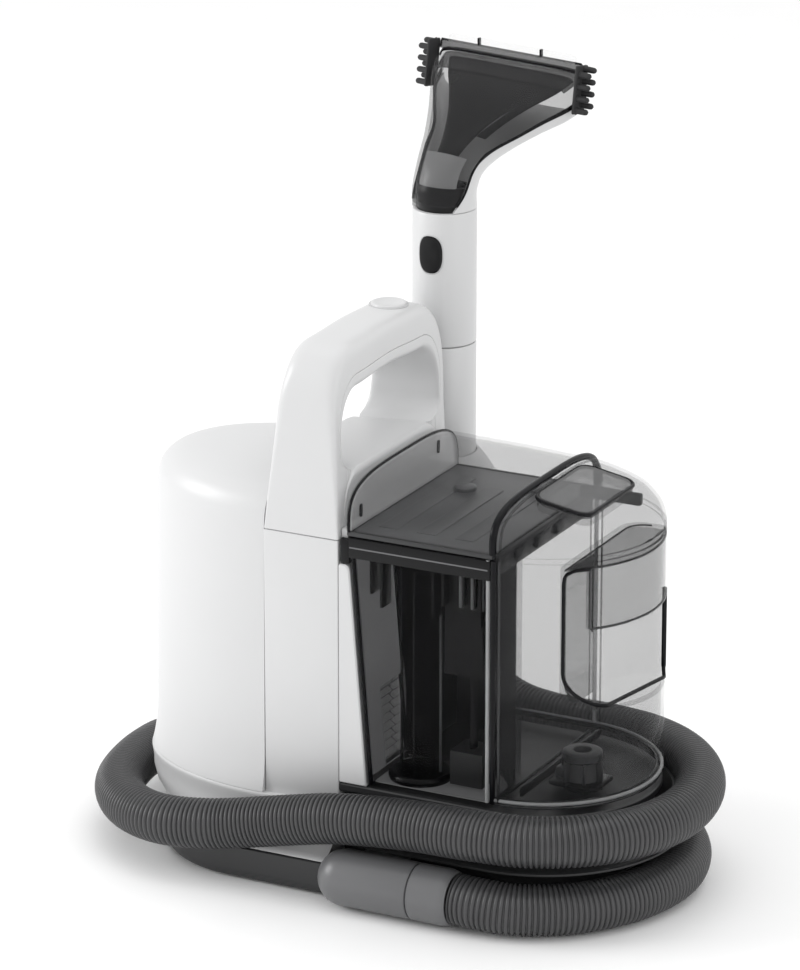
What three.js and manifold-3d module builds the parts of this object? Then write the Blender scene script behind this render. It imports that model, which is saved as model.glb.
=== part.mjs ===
// Portable carpet and upholstery cleaner, in millimetres, +Z up.
// X = 0 is the plane of the tank's back edge beside the handle, +X runs to the tank's round end,
// Y = 0 is the plane of symmetry of the housing, and the floor is at Z = 0.
import * as THREE from 'three';
import { mergeVertices } from 'three/addons/utils/BufferGeometryUtils.js';
import Module from 'manifold-3d';

const wasm = await Module();
wasm.setup();

// ---- Driving dimensions -------------------------------------------------------------------
const GAP = 0.3;                  // clearance between pieces that touch
const WALL = 3;                   // opaque housing wall
const CLEAR_WALL = 2.5;           // tank and hood wall
const SEAM = 0.05;                // between nodes that are one moulding on the real object
const HALF_WIDTH = 75;            // housing and tank, each side of Y = 0

const BASE_BOTTOM = 1.5;          // underside of the base pan above the floor
const BASE_TOP = 23;
const BASE_HALF_WIDTH = 95.6;     // rear part of the base, which carries the hose
const BASE_REAR = { x: -75, length: 81 };
const BASE_FRONT_RADIUS = 68;     // base and tray under the tank's round end
const FOOT = { radius: 9, height: 3.2, rear: -105, front: 112, rearY: 55, frontY: 38 };

const SHELL_REAR = { x: -63, length: 105 };
const SHELL_TOP = 260;
const SHELL_EDGE = 26;            // rounding of the rear shell's top edge
const LEDGE = { low: 44, high: 52, out: 4 };
const SKIRT_TOP = 55;

const FRAME = { rear: -57.2, front: -5.3, pillarTop: 229, dome: 270 };
const PANEL = 3;                  // thickness of the removable side panels

const HANDLE = { crest: 348, shoulder: 300, gapTop: 311, gapSide: 56.5, gapCorner: 289 };
const GAP_FLARE = { rear: -60, rearOut: -3, frontOut: 11 };   // the grip's opening widens to X = 0
const HANDLE_SIDE = { rearLow: -57, frontLow: -5.3, rearHigh: -46, frontHigh: -8, bend: 330 };
const BUTTON = { x: -28, y: 38, radius: 12, low: 338, high: 348 };

const TANK = { straight: 100, floor: 70, top: 232.5, rim: 236, back: 0.3 };
const TANK_SLANT = { low: 14, zLow: 65, zHigh: 237 };
const DIRTY = { front: 99.7, corner: -39, chamferX: 85, inner: -22 };
const POCKET = { flat: 142.3, bottom: 134, lip: 190, top: 229, end: 38 };
const HOOD_PROFILE = [[0.3, 263.5], [109, 260.5], [142, 256.5], [159, 250], [169, 243], [175, 235.5]];
const HOOD_TOP = 265.5;
const HOOD_SHOULDER = 33;
const LATCH = { rear: 109, front: 144, halfWidth: 35, low: 250 };

const STANDPIPE = { x: 40, y: -51, radius: 12, top: 212 };
const FLOAT = { x: 75, y: -48, size: 22, low: 76, high: 98, rod: 2.5 };
const VALVE = { x: 136, y: -20, radius: 12, bore: 4.4, top: 98 };

const MOTOR = { x: -105, radius: 44, low: 92, high: 186, shaft: 4 };
const FAN = { radius: 46, low: 188, high: 221, eye: 16 };

const HOSE_RADIUS = 16;
const CONNECTOR = { y: -100, z: 19, radius: 18, rear: -5, elbow: 26, seam: 62, front: 88 };
const INLET = { y: 30, z: 76, radius: 8, rear: -169, front: -150 };
const WAND = { x: -19, y: 98, radius: 20.5, low: 150, seam: 309, top: 397 };
const HOLDER = { radius: 38.5, low: 160, cone: 209, high: 236, far: 124 };
const TRIGGER = { z: 370, halfWidth: 8, halfHeight: 12 };

// ---- Materials ----------------------------------------------------------------------------
const material = (color, roughness, metalness = 0, opacity = 1) => new THREE.MeshStandardMaterial({
  color, roughness, metalness, opacity, transparent: opacity < 1,
});
const WHITE = material('#eceded', 0.38);
const GREY = material('#47484a', 0.55);
const BLACK = material('#151617', 0.4);
const RUBBER = material('#1b1b1c', 0.85);
const SMOKE = material('#2a2b2d', 0.15, 0, 0.55);
const CLEAR = material('#dfe3e5', 0.08, 0, 0.3);
const STEEL = material('#b9bbbe', 0.3, 1);
const GREEN = material('#2f5b3c', 0.6);

// ---- Solids -------------------------------------------------------------------------------
function toSolid(geometry) {
  const bare = geometry.index ? geometry.clone() : geometry;
  bare.deleteAttribute('normal');
  bare.deleteAttribute('uv');
  const merged = mergeVertices(bare, 1e-4);
  return new wasm.Manifold(new wasm.Mesh({
    numProp: 3,
    vertProperties: new Float32Array(merged.attributes.position.array),
    triVerts: new Uint32Array(merged.index.array),
  }));
}

function toGeometry(solid) {
  const mesh = solid.getMesh();
  const geometry = new THREE.BufferGeometry();
  geometry.setAttribute('position', new THREE.BufferAttribute(mesh.vertProperties, mesh.numProp));
  geometry.setIndex(new THREE.BufferAttribute(mesh.triVerts, 1));
  geometry.computeVertexNormals();
  return geometry;
}

// An outline extruded along one axis. Points are [x, y] for 'z', [y, z] for 'x', [x, z] for 'y'.
function prism(axis, outline, low, high) {
  const flat = axis === 'y' ? outline.map(([x, z]) => [z, x]) : outline;
  const shape = new THREE.Shape(flat.map(([u, v]) => new THREE.Vector2(u, v)));
  const geometry = new THREE.ExtrudeGeometry(shape, { depth: high - low, bevelEnabled: false });
  geometry.translate(0, 0, low);
  const turn = new THREE.Matrix4();
  if (axis === 'x') turn.makeBasis(unit(1), unit(2), unit(0));
  if (axis === 'y') turn.makeBasis(unit(2), unit(0), unit(1));
  return toSolid(geometry.applyMatrix4(turn));
}

function unit(index) {
  return new THREE.Vector3().setComponent(index, 1);
}

function box(x, y, z) {
  const geometry = new THREE.BoxGeometry(x[1] - x[0], y[1] - y[0], z[1] - z[0]);
  return toSolid(geometry.translate((x[0] + x[1]) / 2, (y[0] + y[1]) / 2, (z[0] + z[1]) / 2));
}

// A cylinder or cone along one axis. `place` holds the other two coordinates, in X, Y, Z order.
function rod(axis, place, radius, low, high, sides = 32, radiusHigh = radius) {
  const geometry = new THREE.CylinderGeometry(radiusHigh, radius, high - low, sides);
  const middle = (low + high) / 2;
  if (axis === 'z') geometry.rotateX(Math.PI / 2).translate(place[0], place[1], middle);
  if (axis === 'x') geometry.rotateZ(-Math.PI / 2).translate(middle, place[0], place[1]);
  if (axis === 'y') geometry.translate(place[0], middle, place[1]);
  return toSolid(geometry);
}

function pipe(axis, place, outer, inner, low, high, sides = 32) {
  return rod(axis, place, outer, low, high, sides)
    .subtract(rod(axis, place, inner, low - 1, high + 1, sides));
}

// A closed skin through rings of points, all with the same count, capped at both ends.
function loft(rings, startSection, endSection) {
  const count = rings[0].length;
  const index = [];
  for (let ring = 0; ring + 1 < rings.length; ring += 1) {
    for (let i = 0; i < count; i += 1) {
      const a = ring * count + i;
      const b = ring * count + ((i + 1) % count);
      index.push(a, b, b + count, a, b + count, a + count);
    }
  }
  const cap = (section) => THREE.ShapeUtils.triangulateShape(
    section.map(([u, v]) => new THREE.Vector2(u, v)), []);
  const last = (rings.length - 1) * count;
  cap(startSection).forEach(([a, b, c]) => index.push(c, b, a));
  cap(endSection).forEach(([a, b, c]) => index.push(a + last, b + last, c + last));
  const geometry = new THREE.BufferGeometry();
  geometry.setAttribute('position', new THREE.Float32BufferAttribute(rings.flat(2), 3));
  geometry.setIndex(index);
  return toSolid(geometry);
}

// A loft whose rings are flat outlines at rising heights.
function stack(levels) {
  const rings = levels.map(({ z, outline }) => outline.map(([x, y]) => [x, y, z]));
  return loft(rings, levels[0].outline, levels.at(-1).outline);
}

// ---- Outlines -----------------------------------------------------------------------------
function arc(centre, radii, from, to, steps) {
  return Array.from({ length: steps + 1 }, (_, i) => {
    const angle = THREE.MathUtils.degToRad(from + ((to - from) * i) / steps);
    return [centre[0] + radii[0] * Math.cos(angle), centre[1] + radii[1] * Math.sin(angle)];
  });
}

// The rear shell's outline, grown by `out`, closed by a straight edge at `front`.
function shellOutline(out, front) {
  const round = arc([SHELL_REAR.x, 0], [SHELL_REAR.length + out, HALF_WIDTH + out], 270, 90, 22);
  return [[front, -HALF_WIDTH - out], ...round, [front, HALF_WIDTH + out]].reverse();
}

// The wide rear of the base, as far forward as `front`.
function baseRearOutline(inset, front) {
  const radii = [BASE_REAR.length - inset, BASE_HALF_WIDTH - inset];
  const round = arc([BASE_REAR.x, 0], radii, 270, 90, 22);
  const edge = BASE_HALF_WIDTH - inset;
  return [[front, -edge], ...round, [front, edge]].reverse();
}

// The whole base: the wide rear, a taper, and the narrow part under the tank.
function baseOutline(inset) {
  const taper = { start: -18, end: 6 };
  const rear = baseRearOutline(inset, taper.start);
  const radius = BASE_FRONT_RADIUS - inset;
  return [...rear, [taper.end, -radius], ...arc([TANK.straight, 0], [radius, radius], -90, 90, 20),
    [taper.end, radius]];
}

// The tank's D-shaped outline, grown by `out`, closed by a straight edge at `back`.
function tankOutline(out, back) {
  const radius = HALF_WIDTH + out;
  return [[back, -radius], ...arc([TANK.straight, 0], [radius, radius], -90, 90, 28), [back, radius]];
}

// The dirty-water box in plan, drawn in by `inset` on every side.
function dirtyOutline(inset) {
  const slope = inset * 0.5;
  return [
    [TANK.back + inset, -HALF_WIDTH + inset], [DIRTY.front - inset, -HALF_WIDTH + inset],
    [DIRTY.front - inset, DIRTY.corner - slope], [DIRTY.chamferX - slope, DIRTY.inner - inset],
    [TANK.back + inset, DIRTY.inner - inset],
  ];
}

// Cuts a piece back from the sloping face between the tank and the housing.
function behindSlant(shift) {
  const { low, zLow, zHigh } = TANK_SLANT;
  const at = (z) => shift + (low * (zHigh - z)) / (zHigh - zLow);
  const outline = [[-60, 0], [at(0), 0], [at(zHigh), zHigh], [-60, zHigh]];
  return prism('y', outline, -200, 200);
}

// ---- Scene graph --------------------------------------------------------------------------
const machine = new THREE.Group();

function add(name, solid, look) {
  const mesh = new THREE.Mesh(toGeometry(solid), look);
  mesh.name = name;
  machine.add(mesh);
}

// ---- Base and housing ---------------------------------------------------------------------
function basePan() {
  const outer = prism('z', baseOutline(0), BASE_BOTTOM, BASE_TOP - GAP);
  const inner = prism('z', baseOutline(WALL), BASE_BOTTOM + WALL, BASE_TOP + 1);
  const restPad = box([-20, 20], [-20, 20], [0, BASE_BOTTOM + 1]);
  const pan = outer.subtract(inner).add(restPad);
  return footPlaces().reduce((part, place) => {
    const seat = rod('z', place, FOOT.radius + WALL, BASE_BOTTOM, FOOT.height + WALL, 20);
    return part.add(seat).subtract(rod('z', place, FOOT.radius + GAP, -1, FOOT.height + GAP, 20));
  }, pan);
}

function footPlaces() {
  return [[FOOT.rear, -FOOT.rearY], [FOOT.rear, FOOT.rearY], [FOOT.front, -FOOT.frontY],
    [FOOT.front, FOOT.frontY]];
}

function feetAndScrews() {
  const screw = { radius: 3, head: 5, shift: 18, low: BASE_BOTTOM + WALL + GAP };
  ['rear_near', 'rear_far', 'front_near', 'front_far'].forEach((corner, i) => {
    const [x, y] = footPlaces()[i];
    add(`foot_${corner}`, rod('z', [x, y], FOOT.radius, 0, FOOT.height, 20), RUBBER);
    const place = [x + screw.shift, y];
    const head = rod('z', place, screw.head, screw.low, screw.low + 3, 12);
    const shank = rod('z', place, screw.radius, screw.low + 2, BASE_TOP - 4, 12);
    add(`base_screw_${corner}`, head.add(shank), STEEL);
  });
}

// The flared skirt that joins the wide base to the narrower housing, with the ledge round it.
function lowerHousing() {
  const front = FRAME.front;
  const mix = (share, inset, out) => {
    const shell = shellOutline(out, front);
    return baseRearOutline(inset, front).map(([x, y], i) => [
      x + (shell[i][0] - x) * share, y + (shell[i][1] - y) * share]);
  };
  const skin = (inset, shiftDown) => stack([
    { z: BASE_TOP - shiftDown, outline: mix(0, 1.5 + inset, LEDGE.out) },
    { z: 25.5, outline: mix(0, 6 + inset, LEDGE.out) },
    { z: 32, outline: mix(0.65, 6 + inset, LEDGE.out - inset) },
    { z: LEDGE.low, outline: mix(1, 0, LEDGE.out - inset) },
    { z: LEDGE.high, outline: mix(1, 0, LEDGE.out - inset) },
    { z: SKIRT_TOP + shiftDown / 2, outline: mix(1, 0, 0.5 - inset) },
  ]);
  const cavity = skin(WALL, 2).subtract(box([front - WALL, 10], [-200, 200], [0, 100]));
  return skin(0, 0).subtract(cavity);
}

function rearShell() {
  const front = FRAME.rear - GAP;
  const draft = 2;
  const skin = (inset, low, edge) => {
    const levels = [{ z: low, outline: shellOutline(-inset, edge) }];
    for (let step = 0; step <= 5; step += 1) {
      const angle = (Math.PI / 2) * (step / 5);
      const radius = SHELL_EDGE - inset;
      const drawn = inset + draft + radius * (1 - Math.cos(angle));
      const z = SHELL_TOP - SHELL_EDGE + radius * Math.sin(angle);
      levels.push({ z, outline: shellOutline(-drawn, edge) });
    }
    return stack(levels);
  };
  const inletHole = rod('x', [INLET.y, INLET.z], INLET.radius + GAP, -200, -120, 20);
  return skin(0, SKIRT_TOP + GAP, front).subtract(skin(WALL, 40, front + 20)).subtract(inletHole);
}

// Pillar block under the handle, with the saddle that rises between the handle's legs.
function centreFrame() {
  const solid = (inset, low) => {
    const side = HALF_WIDTH - PANEL - GAP - inset;
    const ends = [FRAME.rear + inset, FRAME.front - inset];
    const ring = (x) => {
      const half = HANDLE.gapSide + gapFlare(x) - GAP - inset;
      const crown = arc([half - 18, FRAME.dome - inset - 24], [18, 20], 0, 80, 4);
      const right = [[half, FRAME.pillarTop - WALL], ...crown, [0, FRAME.dome - inset]];
      return mirrorY(right);
    };
    return box(ends, [-side, side], [low, FRAME.pillarTop - inset]).add(loftAlongX(ends, ring));
  };
  const ductHole = box([FRAME.rear - 1, FRAME.rear + WALL + 1], [-18, 18], [225, 239]);
  return solid(0, SKIRT_TOP + GAP).subtract(solid(WALL, 40)).subtract(ductHole);
}

function mirrorY(half) {
  return [...half, ...half.slice(0, -1).reverse().map(([y, z]) => [-y, z])];
}

// A straight loft between the outlines that `ring` gives at two places along X.
function loftAlongX(ends, ring) {
  return loft(ends.map((x) => ring(x).map(([y, z]) => [x, y, z])), ring(ends[0]), ring(ends[1]));
}

// How far the grip's opening is widened at one place along X.
function gapFlare(x) {
  return GAP_FLARE.rearOut + (GAP_FLARE.frontOut - GAP_FLARE.rearOut) * (1 - x / GAP_FLARE.rear);
}

function sidePanel(side) {
  const y = [HALF_WIDTH - PANEL, HALF_WIDTH].map((value) => value * side).sort((a, b) => a - b);
  return box([FRAME.rear + 0.7, FRAME.front - 0.7], y, [SKIRT_TOP + 4, FRAME.pillarTop - GAP]);
}

// The handle's arch in the Y-Z plane, drawn in by `inset`.
function archOutline(inset, low) {
  const side = HALF_WIDTH - inset;
  const rise = HANDLE.crest - 2 - inset - HANDLE.shoulder;
  const shoulder = arc([side - 35, HANDLE.shoulder], [35, rise], 0, 80, 6);
  return mirrorY([[side, low], ...shoulder, [0, HANDLE.crest - inset]]);
}

// The finger opening, grown by `grow` on every side and open below.
function gapSolid(grow, low) {
  return loftAlongX([GAP_FLARE.rear, 0], (x) => {
    const out = grow + gapFlare(x);
    const side = HANDLE.gapSide + out;
    const rise = HANDLE.gapTop - 2 + out - HANDLE.gapCorner;
    const corner = arc([side - 22, HANDLE.gapCorner], [22, rise], 0, 80, 5);
    return mirrorY([[side, low], ...corner, [0, HANDLE.gapTop + out]]);
  });
}

function handleTaper(inset) {
  const { rearLow, frontLow, rearHigh, frontHigh, bend } = HANDLE_SIDE;
  const low = FRAME.pillarTop;
  const top = HANDLE.crest + 5;
  return prism('y', [
    [rearLow + inset, 0], [frontLow - inset, 0], [frontLow - inset, low], [frontHigh - inset, bend],
    [frontHigh - inset, top], [rearHigh + inset, top], [rearHigh + inset, bend], [rearLow + inset, low],
  ], -100, 100);
}

function handle() {
  const low = FRAME.pillarTop + GAP;
  const gap = gapSolid(0, 200);
  const cavity = prism('x', archOutline(WALL, 200), GAP_FLARE.rear, 0).intersect(handleTaper(WALL));
  const cover = prism('x', archOutline(0, low), GAP_FLARE.rear, 0).intersect(handleTaper(0))
    .subtract(gap).subtract(cavity)
    .subtract(rod('z', [BUTTON.x, BUTTON.y], BUTTON.radius + GAP, 320, 360, 32));
  const liner = gapSolid(WALL, low).subtract(gap).intersect(handleTaper(WALL + GAP));
  add('handle_cover', cover, WHITE);
  add('handle_liner', liner, WHITE);
  const button = rod('z', [BUTTON.x, BUTTON.y], BUTTON.radius, BUTTON.low, BUTTON.high, 32);
  add('power_button', button, WHITE);
}

// Wedge that closes the housing behind the tank, with a window for the exhaust grille.
function bulkheadAndGrille() {
  const window = { y: [-55, 27], z: [78, 130] };
  const block = box([FRAME.front + GAP, 20], [-HALF_WIDTH + GAP, HALF_WIDTH - GAP],
    [TANK.floor, TANK_SLANT.zHigh - 1]);
  const hollow = box([-20, 20], [-HALF_WIDTH + WALL, HALF_WIDTH - WALL], [0, TANK_SLANT.zHigh - 4]);
  const opening = box([-20, 30], window.y, window.z);
  add('tank_bulkhead', block.intersect(behindSlant(0)).subtract(hollow.intersect(behindSlant(-WALL)))
    .subtract(opening), WHITE);
  const fit = window.y.map((y, i) => y + (i ? -GAP : GAP));
  const height = window.z.map((z, i) => z + (i ? -GAP : GAP));
  let grille = box([-20, 30], fit, height);
  const columns = 3;
  const rows = 7;
  const pitchY = (fit[1] - fit[0] - 2) / columns;
  const pitchZ = (height[1] - height[0] - 2) / rows;
  for (let column = 0; column < columns; column += 1) {
    for (let row = 0; row < rows; row += 1) {
      const y = fit[0] + 2 + column * pitchY;
      const z = height[0] + 2 + row * pitchZ;
      grille = grille.subtract(box([-21, 31], [y, y + pitchY - 2], [z, z + pitchZ - 2]));
    }
  }
  add('bulkhead_grille', grille.intersect(behindSlant(-0.2)).subtract(behindSlant(-WALL + 0.2)), GREY);
}

// Dark tray that carries the tank, with the shelf that keeps the two hose turns apart.
function tankTray() {
  const shelf = { low: 34.5, high: 38, radius: 89 };
  const back = FRAME.front + GAP;
  const grow = shelf.radius - HALF_WIDTH;
  const top = TANK.floor - GAP;
  const narrow = BASE_FRONT_RADIUS - HALF_WIDTH;
  const outer = prism('z', tankOutline(narrow, back), BASE_TOP, top)
    .add(prism('z', tankOutline(grow, back), shelf.low, shelf.high))
    .add(prism('z', tankOutline(-1, back), top - 6, top));
  const inner = prism('z', tankOutline(narrow - WALL, back + WALL), 0, top - WALL);
  const port = rod('z', [STANDPIPE.x, STANDPIPE.y], 14 + GAP, top - 10, top + 1, 24);
  return outer.subtract(inner).subtract(port);
}

function sealAndInlet() {
  const inside = 9;
  add('docking_seal', pipe('z', [STANDPIPE.x, STANDPIPE.y], 14, inside, 62, TANK.floor - GAP, 24), RUBBER);
  const sleeve = pipe('x', [INLET.y, INLET.z], INLET.radius, INLET.radius / 2, INLET.rear, INLET.front, 20);
  add('cord_inlet', sleeve, RUBBER);
}

// ---- Inside the housing -------------------------------------------------------------------
function motorAndFan() {
  const place = [MOTOR.x, 0];
  const bearing = { outer: 11, height: 7 };
  const can = rod('z', place, MOTOR.radius, MOTOR.low, MOTOR.high, 28)
    .subtract(rod('z', place, MOTOR.radius - WALL, MOTOR.low + WALL, MOTOR.high - WALL, 28))
    .subtract(rod('z', place, bearing.outer + GAP, MOTOR.low - 1, MOTOR.high + 1, 24));
  add('motor_can', can, STEEL);
  const seats = [['bearing_lower', MOTOR.low], ['bearing_upper', MOTOR.high - bearing.height]];
  seats.forEach(([name, z]) => add(name,
    pipe('z', place, bearing.outer, MOTOR.shaft + 0.05, z, z + bearing.height, 24), STEEL));
  const housing = rod('z', place, FAN.radius, FAN.low, FAN.high, 28)
    .subtract(rod('z', place, FAN.radius - WALL, FAN.low + WALL, FAN.high - WALL, 28))
    .subtract(rod('z', place, FAN.eye, FAN.high - 5, FAN.high + 1, 24))
    .subtract(rod('z', place, 8, FAN.low - 1, FAN.low + 5, 20));
  add('fan_housing', housing, GREY);
  add('motor_shaft', rod('z', place, MOTOR.shaft, MOTOR.low - 4, FAN.high - 10, 24)
    .add(rod('z', place, 26, 110, 165, 24)), STEEL);
  add('impeller', impeller(place), GREY);
}

function impeller(place) {
  const disc = { radius: 42, low: FAN.low + WALL + 3, blades: 8 };
  let wheel = rod('z', place, disc.radius, disc.low, disc.low + 2, 28)
    .add(rod('z', place, 10, disc.low, disc.low + 18, 20));
  for (let blade = 0; blade < disc.blades; blade += 1) {
    const angle = (blade / disc.blades) * Math.PI * 2;
    const geometry = new THREE.BoxGeometry(32, 1.6, 15);
    geometry.translate(24, 0, disc.low + 9).rotateZ(angle).translate(place[0], place[1], 0);
    wheel = wheel.add(toSolid(geometry));
  }
  return wheel.subtract(rod('z', place, MOTOR.shaft + 0.05, disc.low - 1, disc.low + 30, 24));
}

function airDuct() {
  const low = FAN.high + GAP;
  const outer = box([-128, FRAME.rear - 2 * GAP], [-20, 20], [low, 241]);
  const inner = box([-125, 0], [-17, 17], [low + WALL, 238]);
  const eye = rod('z', [MOTOR.x, 0], FAN.eye, low - 1, low + 6, 24);
  return outer.subtract(inner).subtract(eye);
}

function pumpAndBoard() {
  const pump = { x: -32, y: 38, radius: 14, bore: 5, low: 84, high: 140 };
  const place = [pump.x, pump.y];
  const body = rod('z', place, pump.radius, pump.low, pump.high, 24)
    .subtract(rod('z', place, pump.bore + 0.1, pump.low + 6, pump.high + 1, 20));
  add('pump_body', body, BLACK);
  add('pump_plunger', rod('z', place, pump.bore, pump.low + 12, pump.high + 6, 20), STEEL);
  add('circuit_board', box([-14, -12.4], [-52, 20], [96, 190]), GREEN);
}

// ---- Tank ---------------------------------------------------------------------------------
// The clear tank is one moulding, in three nodes so that each keeps a simple shape.
function cleanTank() {
  const { floor, top, back } = TANK;
  const level = floor + WALL;
  const plan = prism('z', tankOutline(0, back), floor, top)
    .subtract(prism('z', dirtyOutline(-GAP), floor - 1, top + 1)).subtract(behindSlant(GAP));
  const walls = plan.intersect(slab(level + SEAM, top));
  const mouth = box([POCKET.flat, 200], [-90, POCKET.end], [POCKET.bottom, POCKET.lip]);
  const inside = (shift) => prism('z', tankOutline(-CLEAR_WALL - shift, back), floor - 1, top + 1);
  add('clean_tank', walls.subtract(inside(0)).subtract(mouth), CLEAR);

  const valveHole = rod('z', [VALVE.x, VALVE.y], VALVE.bore + 2, floor - 1, floor + 5, 24);
  const partition = behindSlant(CLEAR_WALL + GAP)
    .add(prism('z', dirtyOutline(-GAP - CLEAR_WALL), floor, top + 2));
  add('clean_tank_floor', plan.intersect(slab(floor, level))
    .add(plan.intersect(inside(SEAM)).intersect(partition)).subtract(valveHole), CLEAR);

  const pocketSkin = box([POCKET.flat - CLEAR_WALL, 200], [-90, POCKET.end + CLEAR_WALL],
    [POCKET.bottom - CLEAR_WALL, POCKET.top + CLEAR_WALL]);
  const pocket = box([POCKET.flat, 200], [-90, POCKET.end], [POCKET.bottom, POCKET.top]);
  add('grip_pocket', pocketSkin.subtract(pocket).intersect(inside(SEAM)), CLEAR);
}

// A level block wider and longer than the tank.
function slab(low, high) {
  return box([-60, 250], [-120, 120], [low, high]);
}

function dirtyTank() {
  const outer = prism('z', dirtyOutline(0), TANK.floor, TANK.top);
  const cavity = prism('z', dirtyOutline(CLEAR_WALL), TANK.floor + WALL, TANK.top + 1)
    .subtract(behindSlant(CLEAR_WALL + GAP));
  const port = rod('z', [STANDPIPE.x, STANDPIPE.y], 9, TANK.floor - 1, TANK.floor + 5, 24);
  return outer.subtract(cavity).subtract(behindSlant(GAP)).subtract(port);
}

function dirtyTankFittings() {
  const floor = TANK.floor + WALL + GAP;
  const place = [STANDPIPE.x, STANDPIPE.y];
  const slot = box([STANDPIPE.x, STANDPIPE.x + 20], [STANDPIPE.y - 7, STANDPIPE.y + 7],
    [STANDPIPE.top - 30, STANDPIPE.top - 4]);
  const inside = STANDPIPE.radius - CLEAR_WALL;
  const tube = pipe('z', place, STANDPIPE.radius, inside, floor, STANDPIPE.top, 28);
  add('standpipe', tube.subtract(slot), SMOKE);
  add('standpipe_ring', pipe('z', place, 19.5, STANDPIPE.radius + GAP, floor, floor + 6, 32), BLACK);
  const guide = [FLOAT.x, FLOAT.y];
  const duct = { low: 150, high: 221, halfX: 13, halfY: 15 };
  const across = (half, centre) => [centre - half, centre + half];
  const ductBox = (wall, low, high) => box(across(duct.halfX - wall, FLOAT.x),
    across(duct.halfY - wall, FLOAT.y), [low, high]);
  const separator = ductBox(0, duct.low, duct.high)
    .subtract(ductBox(2, duct.low + 3, duct.high + 1))
    .subtract(pipe('z', guide, 8, 5, duct.low - 1, duct.low + 4, 20)
      .subtract(box([FLOAT.x - 1.5, FLOAT.x + 1.5], [-90, 0], [0, 300])))
    .add(rod('z', guide, FLOAT.rod, floor + GAP, duct.low + 1, 16));
  add('separator', separator, BLACK);
  const half = FLOAT.size / 2;
  const block = box(across(half, FLOAT.x), across(half, FLOAT.y), [FLOAT.low, FLOAT.high]);
  add('float', block.subtract(rod('z', guide, FLOAT.rod + 0.4, 0, 200, 16)), WHITE);
}

function cleanTankFittings() {
  const floor = TANK.floor + WALL + GAP;
  const place = [VALVE.x, VALVE.y];
  const lobe = box([VALVE.x - 17, VALVE.x], [VALVE.y - 5, VALVE.y + 5], [floor, floor + 12]);
  add('clean_valve_body', rod('z', place, VALVE.radius, floor, VALVE.top, 24).add(lobe)
    .subtract(rod('z', place, VALVE.bore, floor - 1, VALVE.top + 1, 20)), BLACK);
  add('clean_valve_poppet', rod('z', place, VALVE.bore - 0.2, TANK.floor + 0.5, VALVE.top - 7, 20), RUBBER);
}

// ---- Lid and hood -------------------------------------------------------------------------
function hoodSolid(inset) {
  const side = HALF_WIDTH - inset;
  const top = HOOD_TOP - inset;
  const shoulder = HOOD_SHOULDER - inset;
  const corner = (y, from) => arc([y, top - shoulder], [shoulder, shoulder], from, from + 90, 7);
  const arch = [[-side, 225], [side, 225], ...corner(side - shoulder, 0), ...corner(shoulder - side, 90)];
  const profile = HOOD_PROFILE.map(([x, z]) => [x - inset * (x > 150 ? 1 : 0), z - inset]);
  const start = [HOOD_PROFILE[0][0] + inset, profile[0][1]];
  const lengthwise = prism('y', [[start[0], 225], start, ...profile.slice(1),
    [profile.at(-1)[0], 225]].reverse(), -100, 100);
  return prism('x', arch, 0, 180).intersect(lengthwise)
    .intersect(prism('z', tankOutline(-inset, TANK.back + inset), 225, 280));
}

function lid() {
  const low = TANK.rim + GAP;
  const latchHole = box([LATCH.rear - GAP, LATCH.front + GAP],
    [-LATCH.halfWidth - GAP, LATCH.halfWidth + GAP], [245, 280]);
  const outer = hoodSolid(0);
  const above = box([-10, 300], [-100, 100], [low, 300]);
  add('hood', outer.intersect(above).subtract(hoodSolid(CLEAR_WALL)).subtract(latchHole), CLEAR);
  const latch = box([LATCH.rear, LATCH.front], [-LATCH.halfWidth, LATCH.halfWidth], [LATCH.low, 280]);
  add('latch_button', outer.intersect(latch), SMOKE);
  const ringLow = TANK.top + GAP;
  const ring = prism('z', tankOutline(0, TANK.back), ringLow, TANK.rim)
    .subtract(prism('z', tankOutline(-CLEAR_WALL, TANK.back + CLEAR_WALL), ringLow - 1, TANK.rim + 1));
  add('lid_rim', ring.subtract(behindSlant(GAP)), BLACK);
  const inset = CLEAR_WALL + GAP;
  const edge = HALF_WIDTH - inset;
  add('lid_plate', box([TANK.back + inset, TANK.straight], [-edge, edge], [ringLow, TANK.rim]), SMOKE);
  const gasket = prism('z', dirtyOutline(inset), 222, 232)
    .subtract(prism('z', dirtyOutline(inset + 2), 200, 240));
  add('lid_gasket', gasket.subtract(behindSlant(CLEAR_WALL + 2 * GAP)), RUBBER);
}

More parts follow.
